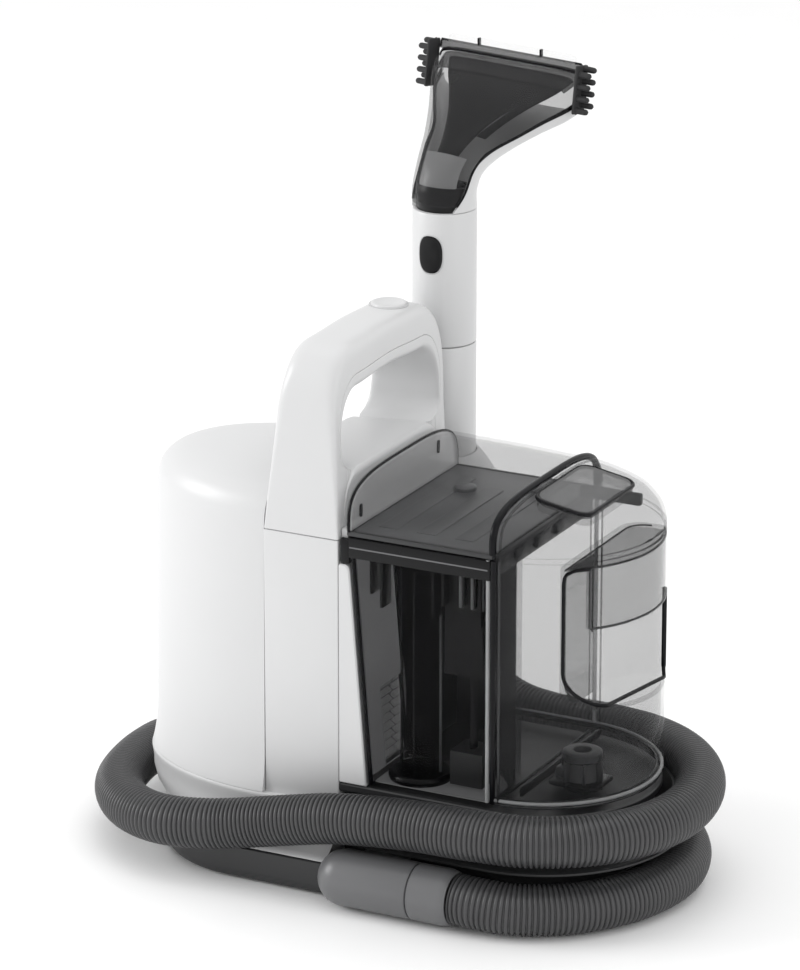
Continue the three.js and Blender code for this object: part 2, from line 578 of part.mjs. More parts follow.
// ---- Hose ---------------------------------------------------------------------------------
const HOSE_ROUTE = [
  [88.8, -100, 19], [104, -99.7, 18.6], [125.4, -94.7, 17], [154.2, -77.4, 16.4], [175, -52.5, 16.4],
  [186.9, -23.3, 16.4], [189.7, 7.8, 16.4], [181.6, 38, 16.4], [164.3, 64.3, 16.4], [139.7, 85.2, 16.4],
  [108.5, 99.5, 16.4], [80, 105, 16.4], [45, 109, 16.4], [5, 112, 16.4], [-35, 113, 16.4],
  [-70, 113.2, 16.4], [-105, 108.5, 16.6], [-138, 94, 18.5], [-165, 75, 22], [-183, 53, 25], [-190.5, 32, 27],
  [-191.5, 8, 27.5], [-187.5, -18, 28.5], [-180.5, -42, 29.5], [-170, -62, 30.5], [-155, -80, 31.5],
  [-136, -94, 33], [-114, -102.5, 35], [-90, -102.5, 37], [-70, -99.5, 39.5], [-48, -97.5, 44],
  [-22, -97.5, 50], [0, -98, 55], [25, -98.5, 58.5], [60, -98, 61], [100, -98, 62], [133.5, -92, 62],
  [163, -75, 62], [184.9, -49, 62], [196.5, -17, 62.5], [196.5, 17, 63.5], [184.9, 49, 64.5],
  [163, 75, 65], [133.5, 92, 65], [100, 98, 65], [61, 98, 65.5], [33.6, 98, 70], [9.6, 98, 83.5],
  [-8, 98, 104.5], [-16.5, 98, 122], [-19, 98, 135], [-19, 98, 144.5],
];

function hoseTube() {
  const points = HOSE_ROUTE.map((point) => new THREE.Vector3(...point));
  const curve = new THREE.CatmullRomCurve3(points, false, 'centripetal');
  const section = new THREE.Shape(arc([0, 0], [HOSE_RADIUS, HOSE_RADIUS], 0, 324, 9)
    .map(([u, v]) => new THREE.Vector2(u, v)));
  return toSolid(new THREE.ExtrudeGeometry(section, { steps: 80, extrudePath: curve }));
}

function hoseConnector() {
  const { y, z, radius, rear, seam } = CONNECTOR;
  const dome = new THREE.SphereGeometry(radius, 24, 12).translate(rear + radius, y, z);
  const branch = [CONNECTOR.elbow, z];
  const elbow = rod('y', branch, 15, y, -BASE_FRONT_RADIUS - GAP, 24);
  const barrel = rod('x', [y, z], radius, rear + radius, seam - GAP, 24);
  const bore = rod('x', [y, z], 12.5, CONNECTOR.elbow, seam + 1, 24).add(rod('y', branch, 11, y, -60, 24));
  return toSolid(dome).add(barrel).add(elbow).subtract(bore);
}

function hoseEnds() {
  const place = [CONNECTOR.y, CONNECTOR.z];
  const cuff = pipe('x', place, CONNECTOR.radius, 12.5, CONNECTOR.seam, CONNECTOR.front, 28);
  add('hose_base_cuff', cuff, GREY);
  add('hose_tube', hoseTube(), GREY);
  add('hose_wand_cuff', pipe('z', [WAND.x, WAND.y], 17.5, 12.5, 145, 172, 28), GREY);
}

// ---- Hand tool ----------------------------------------------------------------------------
function toolHolder() {
  const place = [WAND.x, WAND.y];
  const block = rod('z', place, HOLDER.radius, HOLDER.low, HOLDER.cone, 32)
    .add(rod('z', place, HOLDER.radius, HOLDER.cone, HOLDER.high, 32, WAND.radius + 2));
  return block.intersect(box([-100, 100], [HALF_WIDTH + GAP, HOLDER.far], [0, 400]))
    .subtract(rod('z', place, WAND.radius + 0.5, 100, 300, 32));
}

function wand() {
  const place = [WAND.x, WAND.y];
  const inner = WAND.radius - CLEAR_WALL;
  add('wand_lower', pipe('z', place, WAND.radius, inner, WAND.low, WAND.seam - GAP, 32), WHITE);
  const slotHalf = [TRIGGER.halfWidth + GAP, TRIGGER.halfHeight + GAP];
  const slot = prism('y', arc([WAND.x, TRIGGER.z], slotHalf, 0, 345, 23), 60, WAND.y);
  const upper = pipe('z', place, WAND.radius, inner, WAND.seam, WAND.top - GAP, 32);
  add('wand_upper', upper.subtract(slot), WHITE);
  const face = WAND.y - WAND.radius;
  const oval = arc([WAND.x, TRIGGER.z], [TRIGGER.halfWidth, TRIGGER.halfHeight], 0, 345, 23);
  add('trigger', prism('y', oval, face + 0.4, face + 12), BLACK);
}

// Sections of the nozzle in its own frame, whose origin is on the wand's axis: distance forward
// and height of the centre, lean of the section in degrees, half width, depth of the upper and of
// the lower half, squareness.
const NOZZLE_YAW = -10.75;
const NOZZLE_SECTIONS = [
  { forward: 0, z: 397, lean: 0, width: 20.5, upper: 20.5, lower: 20.5, power: 1 },
  { forward: 0, z: 409, lean: 4, width: 20.5, upper: 20.5, lower: 20.5, power: 1 },
  { forward: 5, z: 422, lean: 22, width: 21, upper: 18, lower: 20.5, power: 0.9 },
  { forward: 14, z: 434, lean: 42, width: 25, upper: 12, lower: 20, power: 0.7 },
  { forward: 28, z: 445.5, lean: 58, width: 33, upper: 10, lower: 19.5, power: 0.5 },
  { forward: 43, z: 455, lean: 72, width: 43.5, upper: 10, lower: 19, power: 0.4 },
  { forward: 58, z: 462.5, lean: 82, width: 53.5, upper: 10, lower: 19, power: 0.34 },
  { forward: 71.3, z: 468.5, lean: 90, width: 57.5, upper: 10.5, lower: 19.5, power: 0.3 },
];

// One section's strip of skin between two angles, `wall` thick and drawn in by `inset`.
function nozzleStrip({ forward, z, lean, width, upper, lower, power }, from, to, inset, wall) {
  const bend = (value, size) => Math.sign(value) * Math.abs(value) ** power * size;
  const edge = (drawn, a, b) => arc([0, 0], [1, 1], a, b, 12)
    .map(([c, s]) => [bend(c, width - drawn), bend(s, (s < 0 ? upper : lower) - drawn)]);
  const section = [...edge(inset, from, to), ...edge(inset + wall, to, from)];
  const angle = THREE.MathUtils.degToRad(lean);
  const ring = section.map(([u, v]) => [u, forward + v * Math.cos(angle), z - v * Math.sin(angle)]);
  return { section, ring };
}

function nozzleSkin(sections, from, to, inset, wall) {
  const strips = sections.map((section) => nozzleStrip(section, from, to, inset, wall));
  return loft(strips.map(({ ring }) => ring), strips[0].section, strips.at(-1).section);
}

// Adds a piece that was made in the nozzle's own frame.
function addToNozzle(name, solid, look) {
  const geometry = toGeometry(solid);
  geometry.rotateZ(THREE.MathUtils.degToRad(NOZZLE_YAW)).translate(WAND.x, WAND.y, 0);
  add(name, toSolid(geometry), look);
}

function nozzle() {
  const mouth = NOZZLE_SECTIONS.at(-1);
  const lip = { halfWidth: 50, radius: 8, thickness: 2, low: mouth.z + mouth.upper - 2, high: 488 };
  const lipCorner = (side, from) => arc([side * (lip.halfWidth - lip.radius), lip.high - lip.radius],
    [lip.radius, lip.radius], from, from + 90, 4);
  const lipOutline = [...lipCorner(1, 0), ...lipCorner(-1, 90), [-lip.halfWidth, lip.low],
    [lip.halfWidth, lip.low]];
  const clearLip = prism('y', lipOutline, mouth.forward - lip.thickness, mouth.forward);
  addToNozzle('nozzle_back', nozzleSkin(NOZZLE_SECTIONS, -12, 192, 0, CLEAR_WALL), WHITE);
  const cover = nozzleSkin(NOZZLE_SECTIONS, 194, 346, 0, CLEAR_WALL);
  addToNozzle('nozzle_cover', cover.add(clearLip), SMOKE);
  addToNozzle('nozzle_duct', nozzleSkin(NOZZLE_SECTIONS.slice(1, -1), 200, 340, 5, 2), BLACK);
  [['nub_strip_rear', -1], ['nub_strip_front', 1]].forEach(([name, side]) => {
    addToNozzle(name, nubStrip(side, mouth), RUBBER);
  });
}

// Soft strip on one end of the mouth, with two staggered columns of scrubbing nubs.
function nubStrip(side, mouth) {
  const strip = { thickness: 2, width: 12, height: 31, lean: THREE.MathUtils.degToRad(-8) };
  const nub = { rows: 4, pitch: 7.6, stagger: 3.4, column: 5.2, length: 7 };
  const face = mouth.width + GAP + strip.thickness;
  const plate = new THREE.BoxGeometry(strip.thickness, strip.width, strip.height);
  let solid = toSolid(plate.translate(side * (face - strip.thickness / 2), 0, 0));
  for (let row = 0; row < nub.rows; row += 1) {
    for (let column = 0; column < 2; column += 1) {
      const stud = new THREE.CylinderGeometry(1.6, 2.1, nub.length, 8).rotateZ((-side * Math.PI) / 2);
      stud.translate(side * (face + nub.length / 2 - 0.5), (column - 0.5) * nub.column,
        (row - (nub.rows - 1) / 2) * nub.pitch + (column - 0.5) * nub.stagger);
      solid = solid.add(toSolid(stud));
    }
  }
  const geometry = toGeometry(solid);
  geometry.rotateX(strip.lean).translate(0, mouth.forward - strip.width / 2 - 2, mouth.z);
  return toSolid(geometry);
}

// ---- Assembly -----------------------------------------------------------------------------
add('base_pan', basePan(), GREY);
feetAndScrews();
add('lower_housing', lowerHousing(), WHITE);
add('rear_shell', rearShell(), WHITE);
add('centre_frame', centreFrame(), WHITE);
add('side_panel_near', sidePanel(-1), WHITE);
add('side_panel_far', sidePanel(1), WHITE);
handle();
bulkheadAndGrille();
add('tank_tray', tankTray(), GREY);
sealAndInlet();
motorAndFan();
add('air_duct', airDuct(), GREY);
pumpAndBoard();
cleanTank();
add('dirty_tank', dirtyTank(), SMOKE);
dirtyTankFittings();
cleanTankFittings();
lid();
add('hose_connector', hoseConnector(), GREY);
hoseEnds();
add('tool_holder', toolHolder(), WHITE);
wand();
nozzle();

export default machine;
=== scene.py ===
"""Portable carpet cleaner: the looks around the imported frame.

Shapes are worked out in millimetres, and bare_object() turns them into metres.
"""
import math

import bmesh
import bpy
from mathutils import Matrix, Vector


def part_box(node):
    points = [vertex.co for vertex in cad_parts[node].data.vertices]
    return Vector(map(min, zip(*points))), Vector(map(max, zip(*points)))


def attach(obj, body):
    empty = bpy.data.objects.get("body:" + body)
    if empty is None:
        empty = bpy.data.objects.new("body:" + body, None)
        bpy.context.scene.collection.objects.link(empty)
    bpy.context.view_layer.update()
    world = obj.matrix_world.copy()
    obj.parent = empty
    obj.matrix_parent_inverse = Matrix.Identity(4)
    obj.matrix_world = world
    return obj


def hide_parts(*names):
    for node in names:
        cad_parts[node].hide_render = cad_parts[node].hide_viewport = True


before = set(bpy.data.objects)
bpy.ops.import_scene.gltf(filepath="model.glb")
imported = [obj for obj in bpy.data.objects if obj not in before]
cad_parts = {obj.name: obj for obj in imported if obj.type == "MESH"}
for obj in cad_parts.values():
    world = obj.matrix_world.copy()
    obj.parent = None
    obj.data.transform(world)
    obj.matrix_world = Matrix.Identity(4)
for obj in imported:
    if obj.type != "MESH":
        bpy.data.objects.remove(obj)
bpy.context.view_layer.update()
MM = 0.001


def cad(node):
    """The lowest and highest corners of a CAD node, in millimetres."""
    low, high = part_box(node)
    return Vector(low) / MM, Vector(high) / MM


# ---- Driving sizes, in millimetres ------------------------------------------------------------
SHELL_LOW, SHELL_HIGH = cad("rear_shell")
BASE_LOW, BASE_HIGH = cad("base_pan")
SKIRT_HIGH = cad("lower_housing")[1]
TRAY_LOW, TRAY_HIGH = cad("tank_tray")
TANK_LOW, TANK_HIGH = cad("clean_tank")
DIRTY_LOW, DIRTY_HIGH = cad("dirty_tank")
HOOD_LOW = cad("hood")[0]
LATCH_LOW, LATCH_HIGH = cad("latch_button")
HANDLE_LOW, HANDLE_HIGH = cad("handle_cover")
FRAME_LOW, FRAME_HIGH = cad("centre_frame")
BULKHEAD_LOW, BULKHEAD_HIGH = cad("tank_bulkhead")
WAND_LOW, WAND_HIGH = cad("wand_upper")
WAND_FOOT = cad("wand_lower")[0]
TRIGGER_LOW, TRIGGER_HIGH = cad("trigger")
HALF = SHELL_HIGH.y                     # half the width of the housing and of the tank
GAP = 0.3                               # between parts that stand face to face
TANK_WALL = 2.5
SHELL_CENTRE = -63                      # where the housing's round end starts
BASE_CENTRE = -75                       # where the base's round end starts
TANK_CENTRE = TANK_HIGH.x - HALF        # where the tank's round end starts
SLANT = {"run": 14, "low": 65, "high": 237}     # the sloping face between housing and tank
WAND_AXIS = Vector(((WAND_LOW.x + WAND_HIGH.x) / 2, (WAND_LOW.y + WAND_HIGH.y) / 2, 0))
WAND_RADIUS = (WAND_HIGH.x - WAND_LOW.x) / 2

HOSE_DIAMETER = 0.032
HOSE_ROUTE = [
    (0.0888, -0.1, 0.019), (0.104, -0.0997, 0.0186), (0.1254, -0.0947, 0.017),
    (0.1542, -0.0774, 0.0164), (0.175, -0.0525, 0.0164), (0.1869, -0.0233, 0.0164),
    (0.1897, 0.0078, 0.0164), (0.1816, 0.038, 0.0164), (0.1643, 0.0643, 0.0164),
    (0.1397, 0.0852, 0.0164), (0.1085, 0.0995, 0.0164), (0.08, 0.105, 0.0164),
    (0.045, 0.109, 0.0164), (0.005, 0.112, 0.0164), (-0.035, 0.113, 0.0164),
    (-0.07, 0.1132, 0.0164), (-0.105, 0.1085, 0.0166), (-0.138, 0.094, 0.0185),
    (-0.165, 0.075, 0.022), (-0.183, 0.053, 0.025), (-0.1905, 0.032, 0.027),
    (-0.1915, 0.008, 0.0275), (-0.1875, -0.018, 0.0285), (-0.1805, -0.042, 0.0295),
    (-0.17, -0.062, 0.0305), (-0.155, -0.08, 0.0315), (-0.136, -0.094, 0.033),
    (-0.114, -0.1025, 0.035), (-0.09, -0.1025, 0.037), (-0.07, -0.0995, 0.0395),
    (-0.048, -0.0975, 0.044), (-0.022, -0.0975, 0.05), (0.0, -0.098, 0.055),
    (0.025, -0.0985, 0.0585), (0.06, -0.098, 0.061), (0.1, -0.098, 0.062),
    (0.1335, -0.092, 0.062), (0.163, -0.075, 0.062), (0.1849, -0.049, 0.062),
    (0.1965, -0.017, 0.0625), (0.1965, 0.017, 0.0635), (0.1849, 0.049, 0.0645),
    (0.163, 0.075, 0.065), (0.1335, 0.092, 0.065), (0.1, 0.098, 0.065),
    (0.061, 0.098, 0.0655), (0.0336, 0.098, 0.07), (0.0096, 0.098, 0.0835),
    (-0.008, 0.098, 0.1045), (-0.0165, 0.098, 0.122), (-0.019, 0.098, 0.135),
    (-0.019, 0.098, 0.1445),
]


# ---- Shapes: a shape is (points, faces) -------------------------------------------------------
def loft(rings, start=True, end=True):
    """A skin through rings of equally many points, closed at its start and end if asked."""
    count = len(rings[0])
    points = [Vector(p) for ring in rings for p in ring]
    faces = []
    for r in range(len(rings) - 1):
        for i in range(count):
            a, b = r * count + i, r * count + (i + 1) % count
            faces.append((a, b, b + count, a + count))
    if start:
        faces.append(tuple(reversed(range(count))))
    if end:
        last = (len(rings) - 1) * count
        faces.append(tuple(range(last, last + count)))
    return points, faces


def joined(*shapes):
    points, faces = [], []
    for more_points, more_faces in shapes:
        offset = len(points)
        points += more_points
        faces += [tuple(i + offset for i in face) for face in more_faces]
    return points, faces


def moved(shape, matrix):
    return [matrix @ Vector(p) for p in shape[0]], shape[1]


def rounded(corners, radii, steps=6):
    """A closed ring through corners, each one rounded off by a curve of its radius."""
    ring = []
    count = len(corners)
    radii = radii if isinstance(radii, (list, tuple)) else [radii] * count
    for i, (corner, radius) in enumerate(zip(corners, radii)):
        corner = Vector(corner)
        before = Vector(corners[i - 1]) - corner
        after = Vector(corners[(i + 1) % count]) - corner
        start = corner + before.normalized() * min(radius, before.length * 0.48)
        end = corner + after.normalized() * min(radius, after.length * 0.48)
        for k in range(steps + 1):
            t = k / steps
            ring.append(start * (1 - t) ** 2 + corner * 2 * t * (1 - t) + end * t ** 2)
    return ring


def smooth_line(points, per_span=8):
    """Points along a centripetal Catmull-Rom curve through the given ones."""
    points = [Vector(p) for p in points]
    padded = [2 * points[0] - points[1], *points, 2 * points[-1] - points[-2]]
    line = []
    for p0, p1, p2, p3 in zip(padded, padded[1:], padded[2:], padded[3:]):
        t1 = (p1 - p0).length ** 0.5
        t2 = t1 + (p2 - p1).length ** 0.5
        t3 = t2 + (p3 - p2).length ** 0.5
        for k in range(per_span):
            t = t1 + (t2 - t1) * k / per_span
            a1 = p0 * ((t1 - t) / t1) + p1 * (t / t1)
            a2 = p1 * ((t2 - t) / (t2 - t1)) + p2 * ((t - t1) / (t2 - t1))
            a3 = p2 * ((t3 - t) / (t3 - t2)) + p3 * ((t - t2) / (t3 - t2))
            b1 = a1 * ((t2 - t) / t2) + a2 * (t / t2)
            b2 = a2 * ((t3 - t) / (t3 - t1)) + a3 * ((t - t1) / (t3 - t1))
            line.append(b1 * ((t2 - t) / (t2 - t1)) + b2 * ((t - t1) / (t2 - t1)))
    line.append(points[-1])
    return line


def resampled(line, step):
    """The same line with its points an equal distance apart, close to step."""
    lengths = [0.0]
    for a, b in zip(line, line[1:]):
        lengths.append(lengths[-1] + (b - a).length)
    count = max(2, round(lengths[-1] / step))
    made, at = [], 0
    for k in range(count + 1):
        want = lengths[-1] * k / count
        while at < len(line) - 2 and lengths[at + 1] < want:
            at += 1
        share = (want - lengths[at]) / max(lengths[at + 1] - lengths[at], 1e-9)
        made.append(line[at].lerp(line[at + 1], share))
    return made


def around(count):
    """Angles that go once round a circle."""
    return [2 * math.pi * k / count for k in range(count)]


def quarter(steps):
    """Angles from nothing to a quarter of a turn."""
    return [math.pi / 2 * k / steps for k in range(steps + 1)]


def middle_of(low, high):
    """The middle of a node's box seen from above."""
    return (low.x + high.x) / 2, (low.y + high.y) / 2


def sweep(line, radii, sides=24, closed=False):
    """A round tube along a line. radii is one radius, or one for each point."""
    radii = radii if isinstance(radii, list) else [radii] * len(line)
    up = Vector((0, 0, 1))
    rings = []
    for i, (point, radius) in enumerate(zip(line, radii)):
        after = line[(i + 1) % len(line)] if closed else line[min(i + 1, len(line) - 1)]
        before = line[i - 1] if closed or i else line[0]
        along = (after - before).normalized()
        if abs(along.dot(up)) > 0.98 and not rings:
            up = Vector((1, 0, 0))
        side = along.cross(up).normalized()
        up = side.cross(along).normalized()
        rings.append([point + (side * math.cos(a) + up * math.sin(a)) * radius for a in around(sides)])
    if closed:
        return loft([*rings, rings[0]], False, False)
    return loft(rings)


def turned(profile, centre, sides=64):
    """A profile of (radius, height) pairs turned about a vertical axis, closed at both ends."""
    return loft([[(centre[0] + r * math.cos(a), centre[1] + r * math.sin(a), z) for a in around(sides)]
                 for r, z in profile])


def block(low, high, radius):
    """A box with rounded edges."""
    rings = []
    inner = min(radius, (high[2] - low[2]) * 0.48)
    for z, inset in ((low[2], inner), (low[2] + inner * 0.3, inner * 0.3), (low[2] + inner, 0),
                     (high[2] - inner, 0), (high[2] - inner * 0.3, inner * 0.3), (high[2], inner)):
        x0, x1, y0, y1 = low[0] + inset, high[0] - inset, low[1] + inset, high[1] - inset
        corners = [(x0, y0, z), (x1, y0, z), (x1, y1, z), (x0, y1, z)]
        rings.append(rounded(corners, max(radius - inset, 0.05), 3))
    return loft(rings)


# ---- Pieces -----------------------------------------------------------------------------------
def bare_object(name, shape):
    mesh = bpy.data.meshes.new(name)
    mesh.from_pydata([Vector(p) * MM for p in shape[0]], [], shape[1])
    bm = bmesh.new()
    bm.from_mesh(mesh)
    bmesh.ops.remove_doubles(bm, verts=bm.verts, dist=1e-7)
    bmesh.ops.recalc_face_normals(bm, faces=bm.faces)
    bm.to_mesh(mesh)
    bm.free()
    obj = bpy.data.objects.new(name, mesh)
    bpy.context.scene.collection.objects.link(obj)
    return obj


def smoothed(obj, angle=35):
    mesh = obj.data
    mesh.polygons.foreach_set("use_smooth", [True] * len(mesh.polygons))
    mesh.set_sharp_from_angle(angle=math.radians(angle))


def bevelled(obj, width, angle=40, segments=3):
    modifier = obj.modifiers.new("edges", "BEVEL")
    modifier.width = width * MM
    modifier.segments = segments
    modifier.limit_method = "ANGLE"
    modifier.angle_limit = math.radians(angle)
    modifier.harden_normals = True
    return obj


def finished(obj, material, body, replaces=(), angle=35):
    smoothed(obj, angle)
    obj.data.materials.clear()
    for item in material if isinstance(material, (list, tuple)) else [material]:
        obj.data.materials.append(item)
    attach(obj, body)
    if replaces:
        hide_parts(*replaces)
    return obj


def piece(name, shape, material, body="root", replaces=(), bevel=0, angle=35):
    obj = finished(bare_object(name, shape), material, body, replaces, angle)
    return bevelled(obj, bevel) if bevel else obj


def edge_line(name, line, radius, material, body, sides=8):
    """A thin dark or light line where an edge of clear or smoked plastic shows; the light lines are painted
    highlights.
    """
    return piece(name, sweep(line, radius, sides), material, body)


def combined(base, shape, operation="DIFFERENCE"):
    """base with a shape cut out of it, or joined with it by another boolean operation."""
    tool = bare_object("tool", shape)
    modifier = base.modifiers.new("solid", "BOOLEAN")
    modifier.object = tool
    modifier.operation = operation
    modifier.solver = "EXACT"
    graph = bpy.context.evaluated_depsgraph_get()
    mesh = bpy.data.meshes.new_from_object(base.evaluated_get(graph))
    base.modifiers.clear()
    base.data = mesh
    bpy.data.objects.remove(tool)
    return base


# ---- Materials --------------------------------------------------------------------------------
DRIFT_SCALE = 14                        # of the slow change of colour and gloss over a piece
GLOSS_SPREAD = 0.15


def moulded(name, colour, rough, mottle=0.03, texture=0.08, scale=900, alpha=1.0, shine=0.5,
            metal=0.0, painted_light=0.0):
    """Moulded plastic or rubber: a fine skin texture, and colour and gloss that drift slightly. The
    emission strength makes the surface glow in its own colour: painted light, as no lamp lights it.
    """
    material = bpy.data.materials.new(name)
    material.use_nodes = True
    nodes, links = material.node_tree.nodes, material.node_tree.links
    shader = nodes["Principled BSDF"]
    shader.inputs["Metallic"].default_value = metal
    shader.inputs["Alpha"].default_value = alpha
    shader.inputs["Specular IOR Level"].default_value = shine
    # Emission: painted light, a glow in the surface's own colour.
    shader.inputs["Emission Color"].default_value = (*colour, 1)
    shader.inputs["Emission Strength"].default_value = painted_light
    where = nodes.new("ShaderNodeTexCoord")
    drift = nodes.new("ShaderNodeTexNoise")
    drift.inputs["Scale"].default_value = DRIFT_SCALE
    drift.inputs["Detail"].default_value = 3
    links.new(where.outputs["Object"], drift.inputs["Vector"])
    ramp = nodes.new("ShaderNodeValToRGB")
    ramp.color_ramp.elements[0].position = 0.3
    ramp.color_ramp.elements[1].position = 0.7
    ramp.color_ramp.elements[0].color = (*[c * (1 - mottle) for c in colour], 1)
    ramp.color_ramp.elements[1].color = (*[min(1, c * (1 + mottle)) for c in colour], 1)
    links.new(drift.outputs["Fac"], ramp.inputs["Fac"])
    links.new(ramp.outputs["Color"], shader.inputs["Base Color"])
    gloss = nodes.new("ShaderNodeMapRange")
    gloss.inputs["To Min"].default_value = rough * (1 - GLOSS_SPREAD)
    gloss.inputs["To Max"].default_value = rough * (1 + GLOSS_SPREAD)
    links.new(drift.outputs["Fac"], gloss.inputs["Value"])
    links.new(gloss.outputs["Result"], shader.inputs["Roughness"])
    grain = nodes.new("ShaderNodeTexNoise")
    grain.inputs["Scale"].default_value = scale
    grain.inputs["Detail"].default_value = 2
    links.new(where.outputs["Object"], grain.inputs["Vector"])
    bump = nodes.new("ShaderNodeBump")
    bump.inputs["Strength"].default_value = texture
    bump.inputs["Distance"].default_value = 0.0002
    links.new(grain.outputs["Fac"], bump.inputs["Height"])
    links.new(bump.outputs["Normal"], shader.inputs["Normal"])
    return material


WHITE = moulded("white_satin", (0.62, 0.622, 0.625), 0.34, 0.01, 0.05)
SHADE = moulded("white_matte", (0.5, 0.502, 0.505), 0.5, 0.015, 0.08)
GREY = moulded("dark_satin", (0.026, 0.0264, 0.0275), 0.36, 0.06, 0.03)
CUFF = moulded("cuff_satin", (0.13, 0.131, 0.135), 0.34, 0.05, 0.1)
HOSE = moulded("hose_plastic", (0.052, 0.052, 0.054), 0.36, 0.08, 0.1)
BLACK = moulded("black_gloss", (0.005, 0.005, 0.0055), 0.26, 0.1, 0.004, shine=0.22)
RUBBER = moulded("soft_rubber", (0.016, 0.016, 0.017), 0.7, 0.12, 0.25, 1400)
STEEL = moulded("machined_steel", (0.55, 0.56, 0.57), 0.28, 0.05, 0.1, 600, metal=1)
BOARD = moulded("board_green", (0.03, 0.1, 0.05), 0.5, 0.1, 0.1)
# These four glow a little: painted light on the grille, its backing, the back sheet and the box floor, deep
# in the smoked box where the lamps hardly reach.
SLATS_PAINTED_GLOW = moulded("grille_grey_painted_glow", (0.66, 0.662, 0.665), 0.5, 0.03, 0.08, painted_light=0.1)
BACKING_PAINTED_GLOW = moulded("grille_backing_painted_glow", (0.1, 0.1, 0.102), 0.6, 0.03, 0.08, painted_light=0.6)
BACK_SHEET_PAINTED_GLOW = moulded("smoked_back_painted_glow", (0.09, 0.09, 0.092), 0.3, 0.12, 0.01, painted_light=0.7)
BOX_FLOOR_PAINTED_GLOW = moulded("box_floor_painted_glow", (0.13, 0.131, 0.133), 0.3, 0.1, 0.02, painted_light=0.45)
SMOKE = moulded("smoked_wall", (0.006, 0.006, 0.0065), 0.1, 0.1, 0.002, alpha=0.18, shine=0.15)
SMOKE_LIGHT = moulded("smoked_film", (0.03, 0.03, 0.031), 0.12, 0.1, 0.002, alpha=0.3, shine=0.2)
SMOKE_DEEP = moulded("smoked_thick", (0.006, 0.006, 0.0065), 0.12, 0.1, 0.002, alpha=0.8, shine=0.25)
SMOKE_MID = moulded("smoked_partition", (0.006, 0.006, 0.0065), 0.12, 0.1, 0.002, alpha=0.08, shine=0.1)
BROW = moulded("smoked_brow", (0.04, 0.04, 0.041), 0.14, 0.1, 0.002, alpha=0.6, shine=0.2)
SMOKE_EDGE = moulded("smoked_edge", (0.004, 0.004, 0.005), 0.2, 0.1, 0.002, alpha=0.97, shine=0.15)
DECK = moulded("smoked_deck", (0.1, 0.101, 0.104), 0.3, 0.4, 0.004, alpha=0.92)
CLEAR = moulded("clear_wall", (0.04, 0.0405, 0.042), 0.07, 0.03, 0.002, alpha=0.175, shine=0.15)
CLEAR_DIM = moulded("clear_side", (0.08, 0.081, 0.083), 0.1, 0.03, 0.002, alpha=0.32, shine=0.15)
CLEAR_FAINT = moulded("clear_lip", (0.8, 0.8, 0.8), 0.1, 0.02, 0.002, alpha=0.12, shine=0.3)
CLEAR_EDGE = moulded("clear_edge", (0.025, 0.0255, 0.027), 0.1, 0.06, 0.002, alpha=0.86)
# Pale clear beads that stand in for the bright highlights on the tank's corners and floor rim: painted
# highlights.
PAINTED_GLINT = moulded("painted_corner_glint", (0.5, 0.505, 0.51), 0.1, 0.03, 0.002, alpha=0.5)
PLATE = moulded("clear_plate", (0.16, 0.161, 0.163), 0.16, 0.04, 0.004, alpha=0.5)
# A pale colour on a clear plate: painted light that brightens what shows through the hood's back.
PLATE_PAINTED_LIGHT = moulded("clear_back_painted_light", (0.8, 0.802, 0.805), 0.16, 0.04, 0.004, alpha=0.36)


# ---- Camera, light and floor ------------------------------------------------------------------
def studio():
    scene = bpy.context.scene
    scene.view_settings.view_transform = "Standard"
    azimuth, elevation = math.radians(26.97), math.radians(18.62)
    distance, target = 3.3896, Vector((-0.00529, 0.00901, 0.23986))
    away = Vector((math.sin(azimuth) * math.cos(elevation), -math.cos(azimuth) * math.cos(elevation),
                   math.sin(elevation)))
    camera = bpy.data.objects.new("camera", bpy.data.cameras.new("camera"))
    camera.data.lens = 201.3
    camera.location = target + away * distance
    camera.rotation_euler = (-away).to_track_quat("-Z", "Y").to_euler()
    scene.collection.objects.link(camera)
    scene.camera = camera

    world = bpy.data.worlds.new("studio")
    world.use_nodes = True
    world.node_tree.nodes["Background"].inputs["Color"].default_value = (1, 1, 1, 1)
    world.node_tree.nodes["Background"].inputs["Strength"].default_value = 0.92
    scene.world = world
    # place, width and power of each lamp
    lamps = {"key": ((-2.0, -0.9, 1.0), 1.0, 22), "fill": ((1.9, -0.6, 0.9), 1.2, 3.5),
             "top": ((0.2, 0.4, 2.2), 2.0, 10)}
    for name, (place, size, power) in lamps.items():
        lamp = bpy.data.objects.new(name, bpy.data.lights.new(name, "AREA"))
        lamp.data.size = size
        lamp.data.energy = power
        lamp.location = place
        lamp.rotation_euler = (Vector((0, 0, 0.2)) - Vector(place)).to_track_quat("-Z", "Y").to_euler()
        scene.collection.objects.link(lamp)

    span = 20000
    corners = [(-span, -span, 0), (span, -span, 0), (span, span, 0), (-span, span, 0)]
    floor = bare_object("floor", (corners, [(0, 1, 2, 3)]))
    floor.data.materials.append(moulded("pale_floor", (0.98, 0.98, 0.98), 0.7, 0.005, 0.02))


# ---- Hose -------------------------------------------------------------------------------------
def hose():
    pitch, depth = 3.1, 1.5
    wave = [0, 0, 0.2, 1, 1, 0.2]               # how far into the groove each ring of a rib is
    line = resampled(smooth_line([Vector(p) / MM for p in HOSE_ROUTE], 24), pitch / len(wave))
    outer = HOSE_DIAMETER / MM / 2
    radii = [outer - depth * wave[i % len(wave)] for i in range(len(line))]
    radii[0] = radii[-1] = outer - depth
    tube = piece("ribbed_hose", sweep(line, radii, 32), HOSE, replaces=["hose_tube"],
                 angle=50)


